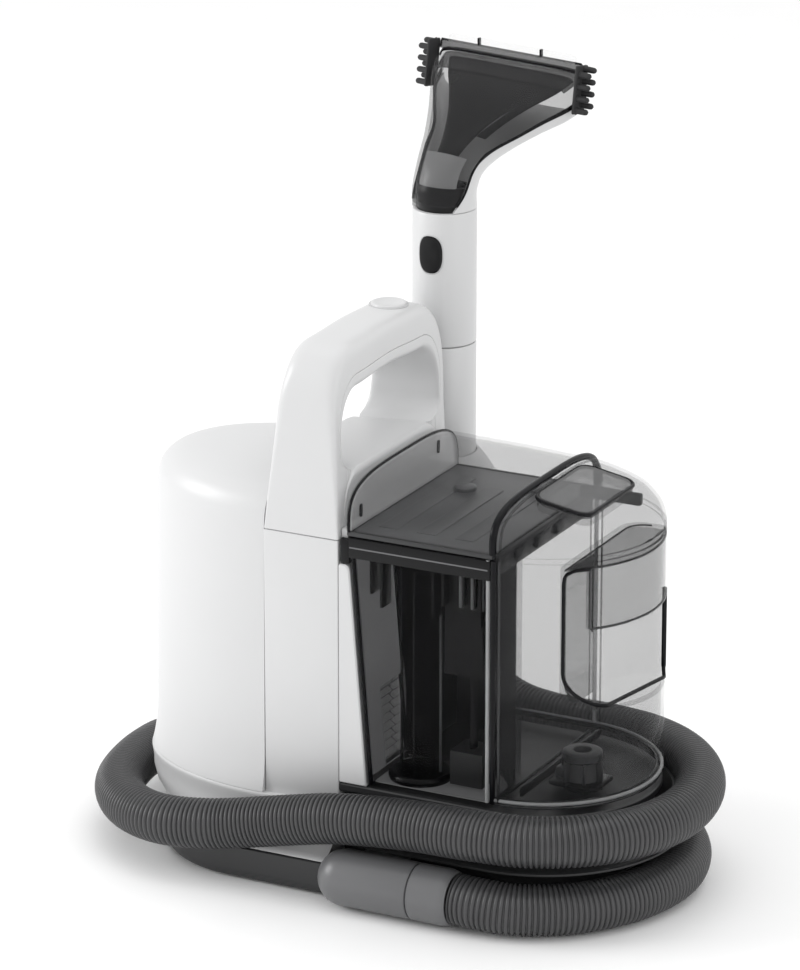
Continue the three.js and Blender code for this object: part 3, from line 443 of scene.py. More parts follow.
# ---- Housing ----------------------------------------------------------------------------------
def oval(end_x, centre_x, length, half, z, steps=64):
    """A ring with straight sides from x = end_x to centre_x and a half ellipse beyond."""
    sign = math.copysign(1, centre_x - end_x)
    ring = [(end_x, -half * sign, z)]
    for k in range(steps + 1):
        angle = math.pi * (k / steps - 0.5)
        ring.append((centre_x + sign * length * math.cos(angle), sign * half * math.sin(angle), z))
    ring.append((end_x, half * sign, z))
    return ring


def bezier(p0, p1, p2, p3, steps):
    """Points on a cubic curve in a plane."""
    made = []
    for k in range(steps + 1):
        t = k / steps
        weights = ((1 - t) ** 3, 3 * t * (1 - t) ** 2, 3 * t * t * (1 - t), t ** 3)
        made.append(tuple(sum(w * p[i] for w, p in zip(weights, (p0, p1, p2, p3))) for i in (0, 1)))
    return made


def rear_shell():
    length, top = SHELL_CENTRE - SHELL_LOW.x, SHELL_HIGH.z
    spread, spread_high, steps = 3.6, 30, 8     # the foot of the shell spreads out a little
    foot = [(-spread * (1 - k / steps) ** 2.2, SHELL_LOW.z + spread_high * k / steps)
            for k in range(steps + 1)]
    crown = bezier((1.5, top - 30), (1.8, top - 6), (18, top - 1), (HALF - 1, top + 1), 28)
    rings = [oval(SHELL_HIGH.x, SHELL_CENTRE, length - d, HALF - d, z) for d, z in foot + crown]
    piece("rear_shell_skin", loft(rings), WHITE, replaces=["rear_shell"])


def skirt():
    """The white skirt under the ledge, which spreads out to the wide base."""
    front = SKIRT_HIGH.x
    length, base = SHELL_CENTRE - SHELL_LOW.x, BASE_CENTRE - BASE_LOW.x

    def ring(z, share, out, inset):
        shell = oval(front, SHELL_CENTRE, length + out, HALF + out, z)
        wide = oval(front, BASE_CENTRE, base - inset, BASE_HIGH.y - inset, z)
        return [Vector(b).lerp(Vector(a), share) for a, b in zip(shell, wide)]

    # height, share of the shell's outline, how far out from the shell and in from the base
    levels = [(23.1, 0, 4, 1.2), (24.5, 0, 4, 2), (26, 0.05, 4, 4), (30, 0.45, 4, 6), (35, 0.8, 4, 6),
              (41, 0.98, 3.2, 4), (46, 1, 3, 0), (50, 1, 3.5, 0), (52.5, 1, 4, 0), (54, 1, 4, 0),
              (55, 1, 3.4, 0)]
    skin = loft([ring(*level) for level in levels])
    piece("skirt_skin", skin, WHITE, replaces=["lower_housing"])


def base_outline(inset, z):
    """The base in plan: a wide round end at the rear that tapers to the tank's width."""
    taper_start, taper_end = -4, 12
    rear = BASE_HIGH.y - inset
    front = BASE_HIGH.x - TANK_CENTRE - inset
    length = BASE_CENTRE - BASE_LOW.x - inset
    ring = [(BASE_CENTRE - length * math.sin(a), rear * math.cos(a), z)
            for a in (math.pi * k / 64 for k in range(65))]
    ring += [(taper_start, -rear, z), (taper_end, -front, z)]
    ring += [(TANK_CENTRE + front * math.sin(a), -front * math.cos(a), z)
             for a in (math.pi * k / 48 for k in range(49))]
    return ring + [(taper_end, front, z), (taper_start, rear, z)]


def base():
    low, high = BASE_LOW.z + 1.5, BASE_HIGH.z
    levels = [(4, low), (1.4, low + 1), (0.3, low + 3), (0, low + 6), (0, high - 0.6), (0.5, high)]
    pan = loft([base_outline(inset, z) for inset, z in levels])
    half = 20                                   # of the rest pad under the middle
    pad = block((-half, -half, BASE_LOW.z), (half, half, low + 1), 2)
    piece("base_skin", joined(pan, pad), GREY, replaces=["base_pan"])


def tray_guard():
    """The short fence at the far front of the tray, between the tank's foot and the hose."""
    radius, low, high, count, thin = 82.5, 36, 62, 15, 0.98
    fence = [Vector((TANK_CENTRE + radius * math.cos(a), radius * math.sin(a), z)) for z in (low, high)
             for a in (math.radians(5 + 5 * k) for k in range(count))]
    inner = [Vector((TANK_CENTRE + (p.x - TANK_CENTRE) * thin, p.y * thin, p.z)) for p in fence]
    return loft([[fence[k], fence[k + count], inner[k + count], inner[k]] for k in range(count)])


def tray():
    """The dark tray under the tank, with the shelf that parts the two turns of the hose."""
    back, top = TRAY_LOW.x, TRAY_HIGH.z
    narrow = BASE_HIGH.x - TANK_CENTRE
    shelf = TRAY_HIGH.x - TANK_CENTRE
    levels = [(narrow, BASE_HIGH.z), (narrow, 32), (narrow + 1.5, 34), (shelf - 2, 34.6), (shelf, 35.6),
              (shelf, 36.9), (shelf - 1.5, 37.9), (narrow + 2, 38.4), (narrow, 40), (narrow, top - 9),
              (HALF - 2, top - 6), (HALF - 0.6, top - 4.5), (HALF - 0.6, top - 1), (HALF - 1.4, top - 0.2)]
    rings = [oval(back, TANK_CENTRE, half, half, z) for half, z in levels]
    collar = turned([(16.5, top - 3), (16.5, top - 0.1), (9.5, top - 0.1), (9, top - 2)],
                    middle_of(*cad("docking_seal")), 40)
    skin = joined(loft(rings), collar, tray_guard())
    piece("tray_skin", skin, GREY, replaces=["tank_tray"])


def flare(x):
    """How far the grip's opening is widened at one place along the arch's depth."""
    return -3 + 14 * (1 + x / 60)


SOFT_FOOT = 13                          # radius where the arch's legs rise out of the saddle


def arch_depth(z):
    """Where the arch's rear and front faces are at one height: it gets thinner upwards."""
    rear, front, taper = -57, -5.3, 101
    share = min(max((z - HANDLE_LOW.z) / taper, 0), 1)
    return rear + 11 * share, front - 2.7 * share


def arch_corners(s):
    """The four corners of the arch's section: s runs from 0 at a leg's foot to 3 at the middle."""
    shoulder, crest_half, leg_out, roundness = 300, 40, 35, 0.8
    grip_half, grip_out, grip_leg, grip_corner = 34.5, 22, 60, 20
    foot, crest = HANDLE_LOW.z, HANDLE_HIGH.z
    leg, corner, bar = min(s, 1), min(max(s - 1, 0), 1) * math.pi / 2, max(s - 2, 0)
    lift = (1 - math.cos(math.pi * bar)) / 2
    if s <= 2:
        outer_y = crest_half + leg_out * abs(math.cos(corner)) ** roundness
    else:
        outer_y = crest_half * (1 - bar)
    outer_z = (foot + (shoulder - foot) * leg
               + (crest - 1 - shoulder) * math.sin(corner) ** roundness + lift)

    def inner(front):
        z = foot + grip_leg * leg + grip_corner * math.sin(corner)
        x = arch_depth(z)[front]
        out = flare(x)
        y = grip_half + out + grip_out * math.cos(corner) if s <= 2 else (grip_half + out) * (1 - bar)
        short = min(max(SOFT_FOOT - (z - FRAME_HIGH.z + 1), 0), SOFT_FOOT)
        y -= SOFT_FOOT - math.sqrt(SOFT_FOOT ** 2 - short ** 2)
        return Vector((x, y, z + out * math.sin(corner) + 2 * lift))

    rear, front = arch_depth(outer_z)
    return Vector((rear, outer_y, outer_z)), Vector((front, outer_y, outer_z)), inner(1), inner(0)


def handle():
    """The carry arch in two mouldings, with a fine parting line on its front and rear faces."""
    part, line, soft_from, steps = 0.68, 0.006, 1.6, 60
    spans = [3 * k / steps for k in range(steps + 1)]
    stations = [(s, 1) for s in spans] + [(s, -1) for s in reversed(spans[:-1])]
    cover, liner = [], []
    for s, side in stations:
        corners = [Vector((c.x, -side * c.y, c.z)) for c in arch_corners(s)]
        outer_rear, outer_front, inner_front, inner_rear = corners
        soft = 1.5 + 9.5 * min(s / soft_from, 1) ** 1.5
        inside = 3 + 6 * min(s / soft_from, 1)
        cover.append(rounded([outer_rear, outer_front, outer_front.lerp(inner_front, part),
                              outer_rear.lerp(inner_rear, part)], [soft, soft, 0.5, 0.5], 8))
        liner.append(rounded([outer_rear.lerp(inner_rear, part + line),
                              outer_front.lerp(inner_front, part + line), inner_front, inner_rear],
                             [0.5, 0.5, inside, inside], 8))
    button_low, button_high = cad("power_button")
    reach = (button_high.x - button_low.x) / 2 - GAP
    well = turned([(reach, button_low.z - 2), (reach, button_high.z + 10)],
                  middle_of(button_low, button_high))
    body = combined(bare_object("arch_cover", loft(cover)), well)
    finished(body, WHITE, "root", ["handle_cover"])
    piece("arch_liner", loft(liner), WHITE, replaces=["handle_liner"])


def saddle():
    """The pillar block between housing and tank, and the domed saddle between the arch's legs."""
    opening_half, edge_wide, edge_high, sag, foot, core_top = 56.5, 20, 22, 2, 224, 228.8
    back, front = FRAME_LOW.x, FRAME_HIGH.x
    rings = []
    for x in (back, back + 1.2, back + 4, front - 4, front - 1.2, front):
        edge = min(x - back, front - x)
        drop = 0 if edge > 3 else 3 * (1 - edge / 3) ** 2
        half = opening_half + flare(x) - 0.6
        top = FRAME_HIGH.z - drop
        arc = [(x, half - edge_wide * (1 - math.cos(a)),
                top - edge_high + edge_high * math.sin(a) - sag * (1 - math.sin(a)))
               for a in quarter(10)]
        right = [(x, half, foot), *arc]
        rings.append(right + [(px, -y, z) for px, y, z in reversed(right)])
    side = FRAME_HIGH.y
    core = block((back, -side, FRAME_LOW.z), (front, side, core_top), 1)
    piece("pillar_skin", joined(loft(rings), core), WHITE, replaces=["centre_frame"])


def panels():
    for name in ("side_panel_near", "side_panel_far"):
        low, high = cad(name)
        plate = block((low.x - 0.5, low.y, SKIRT_HIGH.z - 14), (high.x + 0.5, high.y, high.z), 0.7)
        piece(f"{name}_skin", plate, WHITE, replaces=[name])


def slant_x(z):
    """Where the sloping face between the housing and the tank is at one height."""
    return SLANT["run"] * (SLANT["high"] - z) / (SLANT["high"] - SLANT["low"])


def bulkhead():
    """The wedge behind the tank: white cheeks on both sides and a slotted face between them."""
    low, high, side = BULKHEAD_LOW.z, 214, BULKHEAD_HIGH.y
    window = cad("bulkhead_grille")
    rings = []
    for y in (-side, -side + 0.8, side - 0.8, side):
        inset = 0 if abs(y) < side - 0.4 else 0.8
        back = BULKHEAD_LOW.x
        profile = [(back, y, low + inset), (slant_x(low) - inset, y, low + inset),
                   (slant_x(high) - inset, y, high - inset), (back, y, high - inset)]
        rings.append(rounded(profile, [0.5, 1, 5, 0.5], 6))
    hole = block((-20, window[0].y - GAP, window[0].z - GAP),
                 (40, window[1].y + GAP, window[1].z + GAP), 3)
    body = combined(bare_object("bulkhead_skin", loft(rings)), hole)
    finished(body, WHITE, "root", ["tank_bulkhead"])
    upper = block((BULKHEAD_LOW.x, -side + 4, high + GAP), (-0.2, side, BULKHEAD_HIGH.z), 0.8)
    piece("bulkhead_top", upper, WHITE)


def grille():
    """Tilted slats in three columns, with a sheet behind them; both glow faintly as painted light."""
    low, high = cad("bulkhead_grille")
    columns, rows = 3, 9
    wide = (high.y - low.y) / columns
    blade = block((-2.2, 1.5, -1), (2.2, wide - 1.5, 1), 0.7)
    shapes = []
    for column in range(columns):
        for row in range(rows):
            z = low.z + (row + 0.5) * (high.z - low.z) / rows
            tilt = Matrix.Translation((slant_x(z) - 3, low.y + column * wide, z - 2)) \
                @ Matrix.Rotation(math.radians(35), 4, "Y")
            shapes.append(moved(blade, tilt))
    piece("grille_slats", joined(*shapes), SLATS_PAINTED_GLOW, replaces=["bulkhead_grille"])
    behind = slant_x(low.z) - 8
    backing = block((behind, low.y, low.z), (slant_x(low.z) - 7, high.y, high.z), 0.4)
    piece("grille_backing_painted_glow", backing, BACKING_PAINTED_GLOW)


def power_button():
    low, high = cad("power_button")
    centre = middle_of(low, high)
    radius, top = (high.x - low.x) / 2 - 0.5, high.z + 0.8
    cap = turned([(radius, low.z), (radius, top - 1.4), (radius - 0.5, top - 0.4), (radius - 1.6, top),
                  (radius - 2.6, top - 0.2), (radius - 4, top - 0.7), (1, top - 0.9)], centre)
    piece("power_cap", cap, WHITE, "power_button", ["power_button"])
    ring = turned([(radius + 0.2, top - 5), (radius + 1, top - 5), (radius + 1, top - 1.4),
                   (radius + 0.2, top - 1.1)], centre)
    piece("power_bezel", ring, SHADE)


# ---- Tank -------------------------------------------------------------------------------------
CUT_X, CUT_Y = 85, -39                  # where the smoked box's inner front corner is cut off
BOX_END = 100                           # where the clear tank's wall in front of the box starts
ROUND_END = 73                          # points of clean_outline on the tank's round end


def dirty_outline(inset, z):
    """The smoked box in plan, with its inner front corner cut off."""
    back = max(slant_x(z) + GAP, 0.7) + inset
    front, inner = DIRTY_HIGH.x - inset, DIRTY_HIGH.y - inset
    corners = [(back, -HALF + inset, z), (front, -HALF + inset, z), (front, CUT_Y - inset / 2, z),
               (CUT_X - inset / 2, inner, z), (back, inner, z)]
    return rounded(corners, [2.5, 2.5, 4, 6, 2.5], 6)


def clean_outline(inset, z):
    """The clear tank in plan: a D with the dirty-water box cut out of its near corner."""
    back = max(slant_x(z) + GAP, 0.7) + inset
    radius = HALF - inset
    wall = DIRTY_HIGH.y + GAP + inset
    ring = [(TANK_CENTRE + radius * math.cos(a), radius * math.sin(a), z)
            for a in (math.pi * (k / 72 - 0.5) for k in range(ROUND_END))]
    start = (BOX_END + GAP + inset * 0.9, -radius + 0.01, z)
    notch = [(back, radius, z), (back, wall, z), (CUT_X + inset * 0.4, wall, z),
             (BOX_END + inset, CUT_Y + 0.5 + inset, z)]
    return ring + rounded([start, ring[-1], *notch], [0.05, 0.05, 2.5, 2, 6, 4], 5)[6 * 2:] + [start]


def cup(outline, wall, low, top, lip=1.2):
    """A thin-walled cup over an outline: outside up, over the rim and down the inside."""
    rings = [outline(3, low), outline(0.9, low + 0.9), outline(0, low + 3)]
    rings += [outline(0, low + (top - low) * k / 6) for k in range(1, 6)]
    rings += [outline(0, top - lip * 0.4), outline(lip * 0.3, top), outline(wall - lip * 0.3, top),
              outline(wall, top - lip * 0.4)]
    rings += [outline(wall, top - (top - low) * k / 6) for k in range(1, 6)]
    rings += [outline(wall, low + 6), outline(wall + 0.9, low + 3.9), outline(wall + 3, low + 3)]
    return loft(rings)


POCKET = {"flat": 142.3,                # its inner wall, along X
          "reach": 62, "end": 38,       # its near and far ends, along Y
          "low": 134, "lip": 190, "high": 229,
          "lip_end": 51,                # how far the lip reaches towards the near side
          "corner": 12, "side": -22}    # corner radius, and where the doubled near part ends


def pocket_outline(grow, high, short=0.0, corners=(24, 5, 4, 4)):
    """The grip pocket seen from the tank's round end, as (Y, Z) points: open on the near side."""
    near, far = -POCKET["reach"] - grow, POCKET["end"] + grow - short
    low, top = POCKET["low"] - grow, high + grow
    return rounded([(near, low + 5), (far, low - 1), (far, top), (near, top)], list(corners), 10)


def pocket_block(grow, high, corners=(24, 5, 4, 4)):
    """A solid that runs from the pocket's inner wall out through the tank's round end."""
    radius, through = POCKET["corner"] + grow, 60
    rings = []
    for depth in [*(radius * (1 - math.cos(a)) for a in quarter(8)), through]:
        rest = max(radius - depth, 0)
        short = radius - math.sqrt(radius ** 2 - rest ** 2)
        x = POCKET["flat"] - grow + depth
        rings.append([(x, y, z) for y, z in pocket_outline(grow, high, short, corners)])
    return loft(rings)


def on_round_end(y, z, inset=0.0):
    """The point of the tank's round end at that place across and up."""
    return Vector((TANK_CENTRE + math.sqrt(max((HALF - inset) ** 2 - y * y, 0)), y, z))


def tank_solid(inset):
    """A round solid that fills the tank's round end, to cut the pocket's skin to its curve."""
    levels = (TANK_LOW.z + 4, TANK_HIGH.z - 0.5)
    return loft([[(TANK_CENTRE + (HALF - inset) * math.cos(a), (HALF - inset) * math.sin(a), z)
                  for a in around(160)] for z in levels])


def clean_tank():
    reach, step, lip, high = (POCKET[k] for k in ("reach", "lip_end", "lip", "high"))
    body = bare_object("clear_tank", cup(clean_outline, TANK_WALL, TANK_LOW.z, TANK_HIGH.z))
    body = combined(body, pocket_block(0, lip, (24, 5, 0.5, 0.5)))
    body = combined(body, block((POCKET["flat"], -reach - 1, lip - 5), (200, -step, high), 0.6))
    skin = bare_object("pocket_skin", pocket_block(TANK_WALL, high, (26, 7, 6, 6)))
    skin = combined(combined(skin, pocket_block(0, high)), tank_solid(0.6), "INTERSECT")
    finished(body, CLEAR, "tank", ["clean_tank", "clean_tank_floor"])
    finished(skin, CLEAR, "tank", ["grip_pocket"])
    pocket_side()


def pocket_side():
    """A dim sheet on the near part of the pocket's inner wall, where two walls lie over each other."""
    edge, high = POCKET["side"], POCKET["high"]
    side = [(y, z) for y, z in pocket_outline(-0.4, high) if y < edge]
    foot = min(z for _, z in side)
    start = next(k for k, (_, z) in enumerate(side) if z == foot)
    side = side[start:] + side[:start]
    side = [(edge, foot), *sorted(side, key=lambda p: p[1]), (edge, high - 1)]
    sheet = loft([[(POCKET["flat"] + x, y, z) for y, z in side] for x in (0.5, 1.1)])
    piece("pocket_side", sheet, CLEAR_DIM, "tank")


def bead(name, points, radius, material, body, closed=False, per_span=8):
    line = smooth_line(points, per_span)
    return piece(name, sweep(line, radius, 10, closed), material, body)


def pocket_edges():
    """The cut edges of the grip pocket, which read as dark lines through the clear plastic."""
    lip, high, step, radius, flat = (POCKET[k] for k in ("lip", "high", "lip_end", "corner", "flat"))
    reach, end, low = POCKET["reach"] - 0.3, POCKET["end"] + 0.3, POCKET["low"]
    big, small = 24, 5                          # radii of the pocket's two lower corners
    near = [(-reach + big * (1 - math.cos(a)), low + 4.3 + big * (1 - math.sin(a)))
            for a in quarter(10)[:-1]]
    far = [(end - small * (1 - math.cos(a)), low - 1 + small * (1 - math.sin(a)))
           for a in (math.pi / 2 * (1 - k / 6) for k in range(7))]
    rim = [(-step, high - 0.5), (-reach + 4, high - 0.6), (-reach + 0.6, high - 3), (-reach, high - 8),
           *near, *far, (end, lip)]
    across = [-step + (end + step) * k / 30 for k in range(31)]
    under = [(-step, high - 1), (-step, lip), *[(y, lip) for y in across]]
    inner = [(-step + 4, high), (-step + 4, lip + 6), (-step + 4, lip - 3)]
    back = [(flat, -reach), (flat, end - radius)]
    back += [(flat + radius * (1 - math.cos(a)), end - radius + radius * math.sin(a))
             for a in quarter(8)[1:]]
    lines = {"rim": ([on_round_end(y, z, 0.6) for y, z in rim], 1.25, SMOKE_EDGE),
             "under": ([on_round_end(y, z, 0.6) for y, z in under], 0.8, CLEAR_EDGE),
             "ledge": ([on_round_end(y, high, 1.2) for y in across], 0.8, CLEAR_EDGE),
             "back": ([Vector((x, y, high)) for x, y in back], 0.6, CLEAR_EDGE),
             "inner": ([on_round_end(y, z, 3.4) for y, z in inner], 0.6, CLEAR_EDGE),
             "far": ([on_round_end(end, z, 0.6) for z in (low + 4, 160, lip)], 1.6, SMOKE_EDGE)}
    for name, (line, thick, look) in lines.items():
        edge_line(f"pocket_{name}_edge", resampled(line, 2.5), thick, look, "tank")


def upright(name, x, y, low, radius, look):
    """A line down the tank's wall, x from where the round end starts."""
    ends = [(TANK_CENTRE + x, y, low), (TANK_CENTRE + x, y, TANK_HIGH.z)]
    bead(f"corner_{name}", ends, radius, look, "tank", per_span=2)


def tank_trim():
    """Rims and thick edges of the tank, which read as lines through clear plastic. The pale beads on the
    corners and round the floor's rim are painted highlights.
    """
    foot = TANK_LOW.z
    for name, x, radius, look in (("rib", 0.4, 1.7, SMOKE_EDGE), ("glint", -3.2, 1.3, PAINTED_GLINT),
                                  ("fold", 4.4, 0.9, CLEAR_EDGE)):
        y = -math.sqrt((HALF - 0.9) ** 2 - max(x, 0) ** 2)
        upright(name, x, y, foot + 2, radius, look)
    for name, x, radius, look in (("far_glint", 0.4, 1.4, PAINTED_GLINT), ("far_fold", 4.4, 0.6, CLEAR_DIM),
                                  ("far_line", -3.4, 0.5, CLEAR_DIM)):
        y = math.sqrt((HALF - 1.4) ** 2 - max(x, 0) ** 2)
        upright(name, x, y, foot + 5, radius, look)
    for name, inset, z, radius, look in (("rim", 1.2, foot + 4, 1.2, PAINTED_GLINT),
                                         ("lower", 1.6, foot + 1.6, 1.1, CLEAR_EDGE),
                                         ("inner", 4.2, foot + 4.4, 0.6, CLEAR_EDGE)):
        round_end = [Vector((p[0], p[1], z)) for p in clean_outline(inset, z)[:ROUND_END]]
        far_side = [Vector((x, HALF - inset, z)) for x in (75, 50, 25, 14)]
        edge_line(f"floor_{name}", round_end + far_side, radius, look, "tank")
    ridge = block((112, -60, foot + 3), (114, 54, foot + 9), 0.9)
    step = block((103, -60, foot + 3), (105, 60, foot + 5), 0.9)
    sump = block((118, -34, foot + 3), (152, -6, foot + 6), 4)
    piece("floor_ridges", joined(ridge, step, sump), SMOKE_DEEP, "tank")


def dirty_tank():
    inner = DIRTY_HIGH.y
    box = cup(dirty_outline, TANK_WALL, DIRTY_LOW.z, DIRTY_HIGH.z)
    obj = piece("smoked_tank", box, [SMOKE, SMOKE_MID], "tank", ["dirty_tank"])
    for face in obj.data.polygons:              # the walls towards the clear side look thinner
        face.material_index = int(face.center.x > (DIRTY_HIGH.x - 4) * MM or face.center.y > CUT_Y * MM)
    # The sheet on the box's floor glows: painted light where the lamps hardly reach.
    level = DIRTY_LOW.z + 3.2
    sheet = [dirty_outline(TANK_WALL + 1.5, z) for z in (level, level + 0.6)]
    piece("box_floor_sheet", loft(sheet), BOX_FLOOR_PAINTED_GLOW, "tank")
    posts = [sweep([Vector((slant_x(z) + 3, y, z)) for z in (DIRTY_LOW.z + 2, 120, 180, DIRTY_HIGH.z)],
                   1.4, 8) for y in (-HALF + 2, inner - 2)]
    piece("smoked_tank_posts", joined(*posts), SMOKE_EDGE, "tank")
    top = DIRTY_HIGH.z - 15
    screens = [block((52, inner - 4.4, 102), (82, inner - 3, top), 0.6),
               block((94.6, -HALF + 4, 152), (96, -41, top), 0.6)]
    piece("tank_screens", joined(*screens), BLACK, "tank")
    back_sheet(top)
    tank_band()


def back_sheet(top):
    """A dark sheet on the box's sloping back wall, with a window in front of the grille. It glows faintly:
    painted light.
    """
    near, far = -HALF + 3.5, DIRTY_HIGH.y - 3.5
    rings = []
    for z in (DIRTY_LOW.z + 8, top):
        x = slant_x(z) + TANK_WALL + 1.2
        rings.append([(x, near, z), (x + 0.8, near, z), (x + 0.8, far, z), (x, far, z)])
    grille_low, grille_high = cad("bulkhead_grille")
    window = block((-9, grille_low.y, grille_low.z), (40, 0, grille_high.z), 2)
    back = combined(bare_object("tank_back_sheet", loft(rings)), window)
    finished(back, BACK_SHEET_PAINTED_GLOW, "tank")


def tank_band():
    """The black band round the top of the smoked box, with a fine lighter line on it: a painted highlight.
    """
    face, top = -HALF - 0.5, DIRTY_HIGH.z
    band = block((2.2, face, top - 13.2), (98.6, -HALF + 1, top - 0.3), 0.6)
    piece("tank_band", band, BLACK, "tank")
    edge_line("tank_band_highlight", [Vector((x, face, top - 6.4)) for x in (3, 50, 97)], 0.5, CUFF, "tank")


def fittings():
    """What stands in the dirty-water box and on the clean tank's floor."""
    low, high = cad("standpipe")
    centre, radius = middle_of(low, high), (high.x - low.x) / 2
    tube = turned([(radius, low.z), (radius - 0.4, low.z + 60), (radius - 0.8, high.z - 1),
                   (radius - 1.4, high.z), (radius - 2.4, high.z), (radius - 2.8, high.z - 2),
                   (radius - 2.5, low.z + 1)], centre, 48)
    piece("standpipe_skin", tube, SMOKE_MID, "tank", ["standpipe"])
    # The right-hand line is lighter: a painted highlight on the pipe's edge; the other two are its dark
    # edges.
    for name, degrees, look in (("left", 207, BLACK), ("middle", 275, BLACK), ("right", 27, CUFF)):
        a = math.radians(degrees)
        x, y = centre[0] + radius * math.cos(a), centre[1] + radius * math.sin(a)
        edge = [Vector((x, y, z)) for z in (low.z, 110, 160, high.z)]
        edge_line(f"standpipe_edge_{name}", edge, 0.9, look, "tank")
    hanging_parts()
    collar(centre, radius)
    valve()


def hanging_parts():
    """Blades and strips that hang from the top of the smoked box."""
    top = 221
    blades = [block((x, -70, bottom), (x + 2, -58, top), 0.5) for x, bottom in
              ((14, 196), (21, 188), (56, 186), (63, 196), (88, 186))]
    piece("tank_blades", joined(*blades), BLACK, "tank")
    strips = [block((x, -68, 196), (x + 2, -64, top), 0.6) for x in (74, 82, 89)]
    piece("tank_strips", joined(*strips), CUFF, "tank")


def collar(centre, radius):
    """The black collar round the standpipe's foot."""
    low, high = cad("standpipe_ring")
    wide = (high.x - low.x) / 2
    ring = turned([(radius + 0.3, low.z), (wide, low.z), (wide + 0.8, low.z + 2),
                   (wide + 0.8, high.z - 2.5), (wide - 0.5, high.z - 0.6), (wide - 2, high.z),
                   (radius + 2.5, high.z - 0.4), (radius + 1.6, high.z - 2),
                   (radius + 0.5, high.z - 2.4)], centre)
    piece("collar_skin", ring, BLACK, "tank", ["standpipe_ring"])


def valve():
    """The clean tank's outlet valve: a hollow knob with six fins, and a lobe beside it."""
    low, high = cad("clean_valve_body")
    reach = 12
    centre = (high.x - reach, (low.y + high.y) / 2)
    knob = turned([(reach, low.z), (reach, low.z + 3), (10.5, low.z + 5), (10, high.z - 7),
                   (12.5, high.z - 5), (12.5, high.z - 1), (11, high.z), (6, high.z), (5, high.z - 3),
                   (4.6, low.z + 1)], centre, 40)
    fins = [moved(block((8.5, -1, low.z), (14, 1, high.z - 6), 0.8),
                  Matrix.Translation((*centre, 0)) @ Matrix.Rotation(k * math.pi / 3, 4, "Z"))
            for k in range(6)]
    lobe = block((low.x, centre[1] - 5, low.z), (centre[0], centre[1] + 5, low.z + 12), 2.5)
    piece("valve_skin", joined(knob, lobe, *fins), GREY, "tank", ["clean_valve_body"])


# ---- Lid --------------------------------------------------------------------------------------
HOOD_SQUARE = 3.6                       # how square the hood's section is: 2 would be an ellipse


def hood_profile(x):
    """The hood's height along its middle, and its half width."""
    points = [(0, 267.5), (60, 266), (109, 263), (142, 257.5), (159, 250.5), (169, 243),
              (174.8, HOOD_LOW.z)]
    for (x0, z0), (x1, z1) in zip(points, points[1:]):
        if x <= x1:
            break
    t = min(max((x - x0) / (x1 - x0), 0), 1)
    half = HALF - 0.4
    beyond = max(x - TANK_CENTRE, 0)
    return z0 + (z1 - z0) * t, math.sqrt(max(half ** 2 - beyond ** 2, 0.04))


def hood_section(x, steps=40):
    """A flattened arch across the hood at one place along it, from the near side to the far."""
    top, half = hood_profile(x)
    power = 2 / HOOD_SQUARE
    ring = []
    for k in range(steps + 1):
        angle = math.pi * (1 - k / steps)
        c, s = math.cos(angle), math.sin(angle)
        ring.append((x, half * math.copysign(abs(c) ** power, c),
                     HOOD_LOW.z + (top - HOOD_LOW.z) * abs(s) ** power))
    return ring


def hood_height(x, y):
    top, half = hood_profile(x)
    share = min(abs(y) / half, 1)
    return HOOD_LOW.z + (top - HOOD_LOW.z) * (1 - share ** HOOD_SQUARE) ** (1 / HOOD_SQUARE)


def hood():
    """The clear hood of the lid, a thin sheet, and the clear plate that closes it at the back, whose pale
    colour is painted light.
    """
    places = [0.5, 1.5, *[3 + 97 * k / 12 for k in range(13)]]
    places += [TANK_CENTRE + (HALF - 0.5) * math.sin(a) for a in quarter(26)[1:]]
    sections = [hood_section(x) for x in places]
    count = len(sections[0])
    faces = [(r * count + i, r * count + i + 1, (r + 1) * count + i + 1, (r + 1) * count + i)
             for r in range(len(sections) - 1) for i in range(count - 1)]
    points = [p for section in sections for p in section]
    dome = piece("clear_hood", (points, faces), CLEAR, "lid", ["hood"], angle=60)
    wall = dome.modifiers.new("wall", "SOLIDIFY")
    wall.thickness = 2.2 * MM
    wall.offset = -1
    back = hood_section(1.2, 48)
    plate = loft([[(x, y * 0.985, HOOD_LOW.z + (z - HOOD_LOW.z) * 0.97) for _, y, z in back]
                  for x in (1.0, 3.2)])
    piece("hood_back", plate, PLATE_PAINTED_LIGHT, "lid")
    bead("hood_back_edge", [Vector(p) + Vector((0.8, 0, -0.6)) for p in back], 0.9, SMOKE_EDGE,
         "lid", per_span=1)
    slots = [block((3.2, y - 2, z - 4), (3.9, y + 2, z + 4), 1) for y, z in ((-61, 246), (45, 256))]
    piece("hood_back_slots", joined(*slots), SMOKE_EDGE, "lid")


def drape(outline, offset, rings=6):
    """A cap over part of the hood: its outline drawn in step by step, at the hood's own height."""
    centre = sum((Vector(p) for p in outline), Vector((0, 0))) / len(outline)
    made = []
    for k in range(rings):
        share = 1 - k / rings
        ring = [centre.lerp(Vector(p), share) for p in outline]
        made.append([(p.x, p.y, hood_height(p.x, p.y) + offset) for p in ring])
    return made


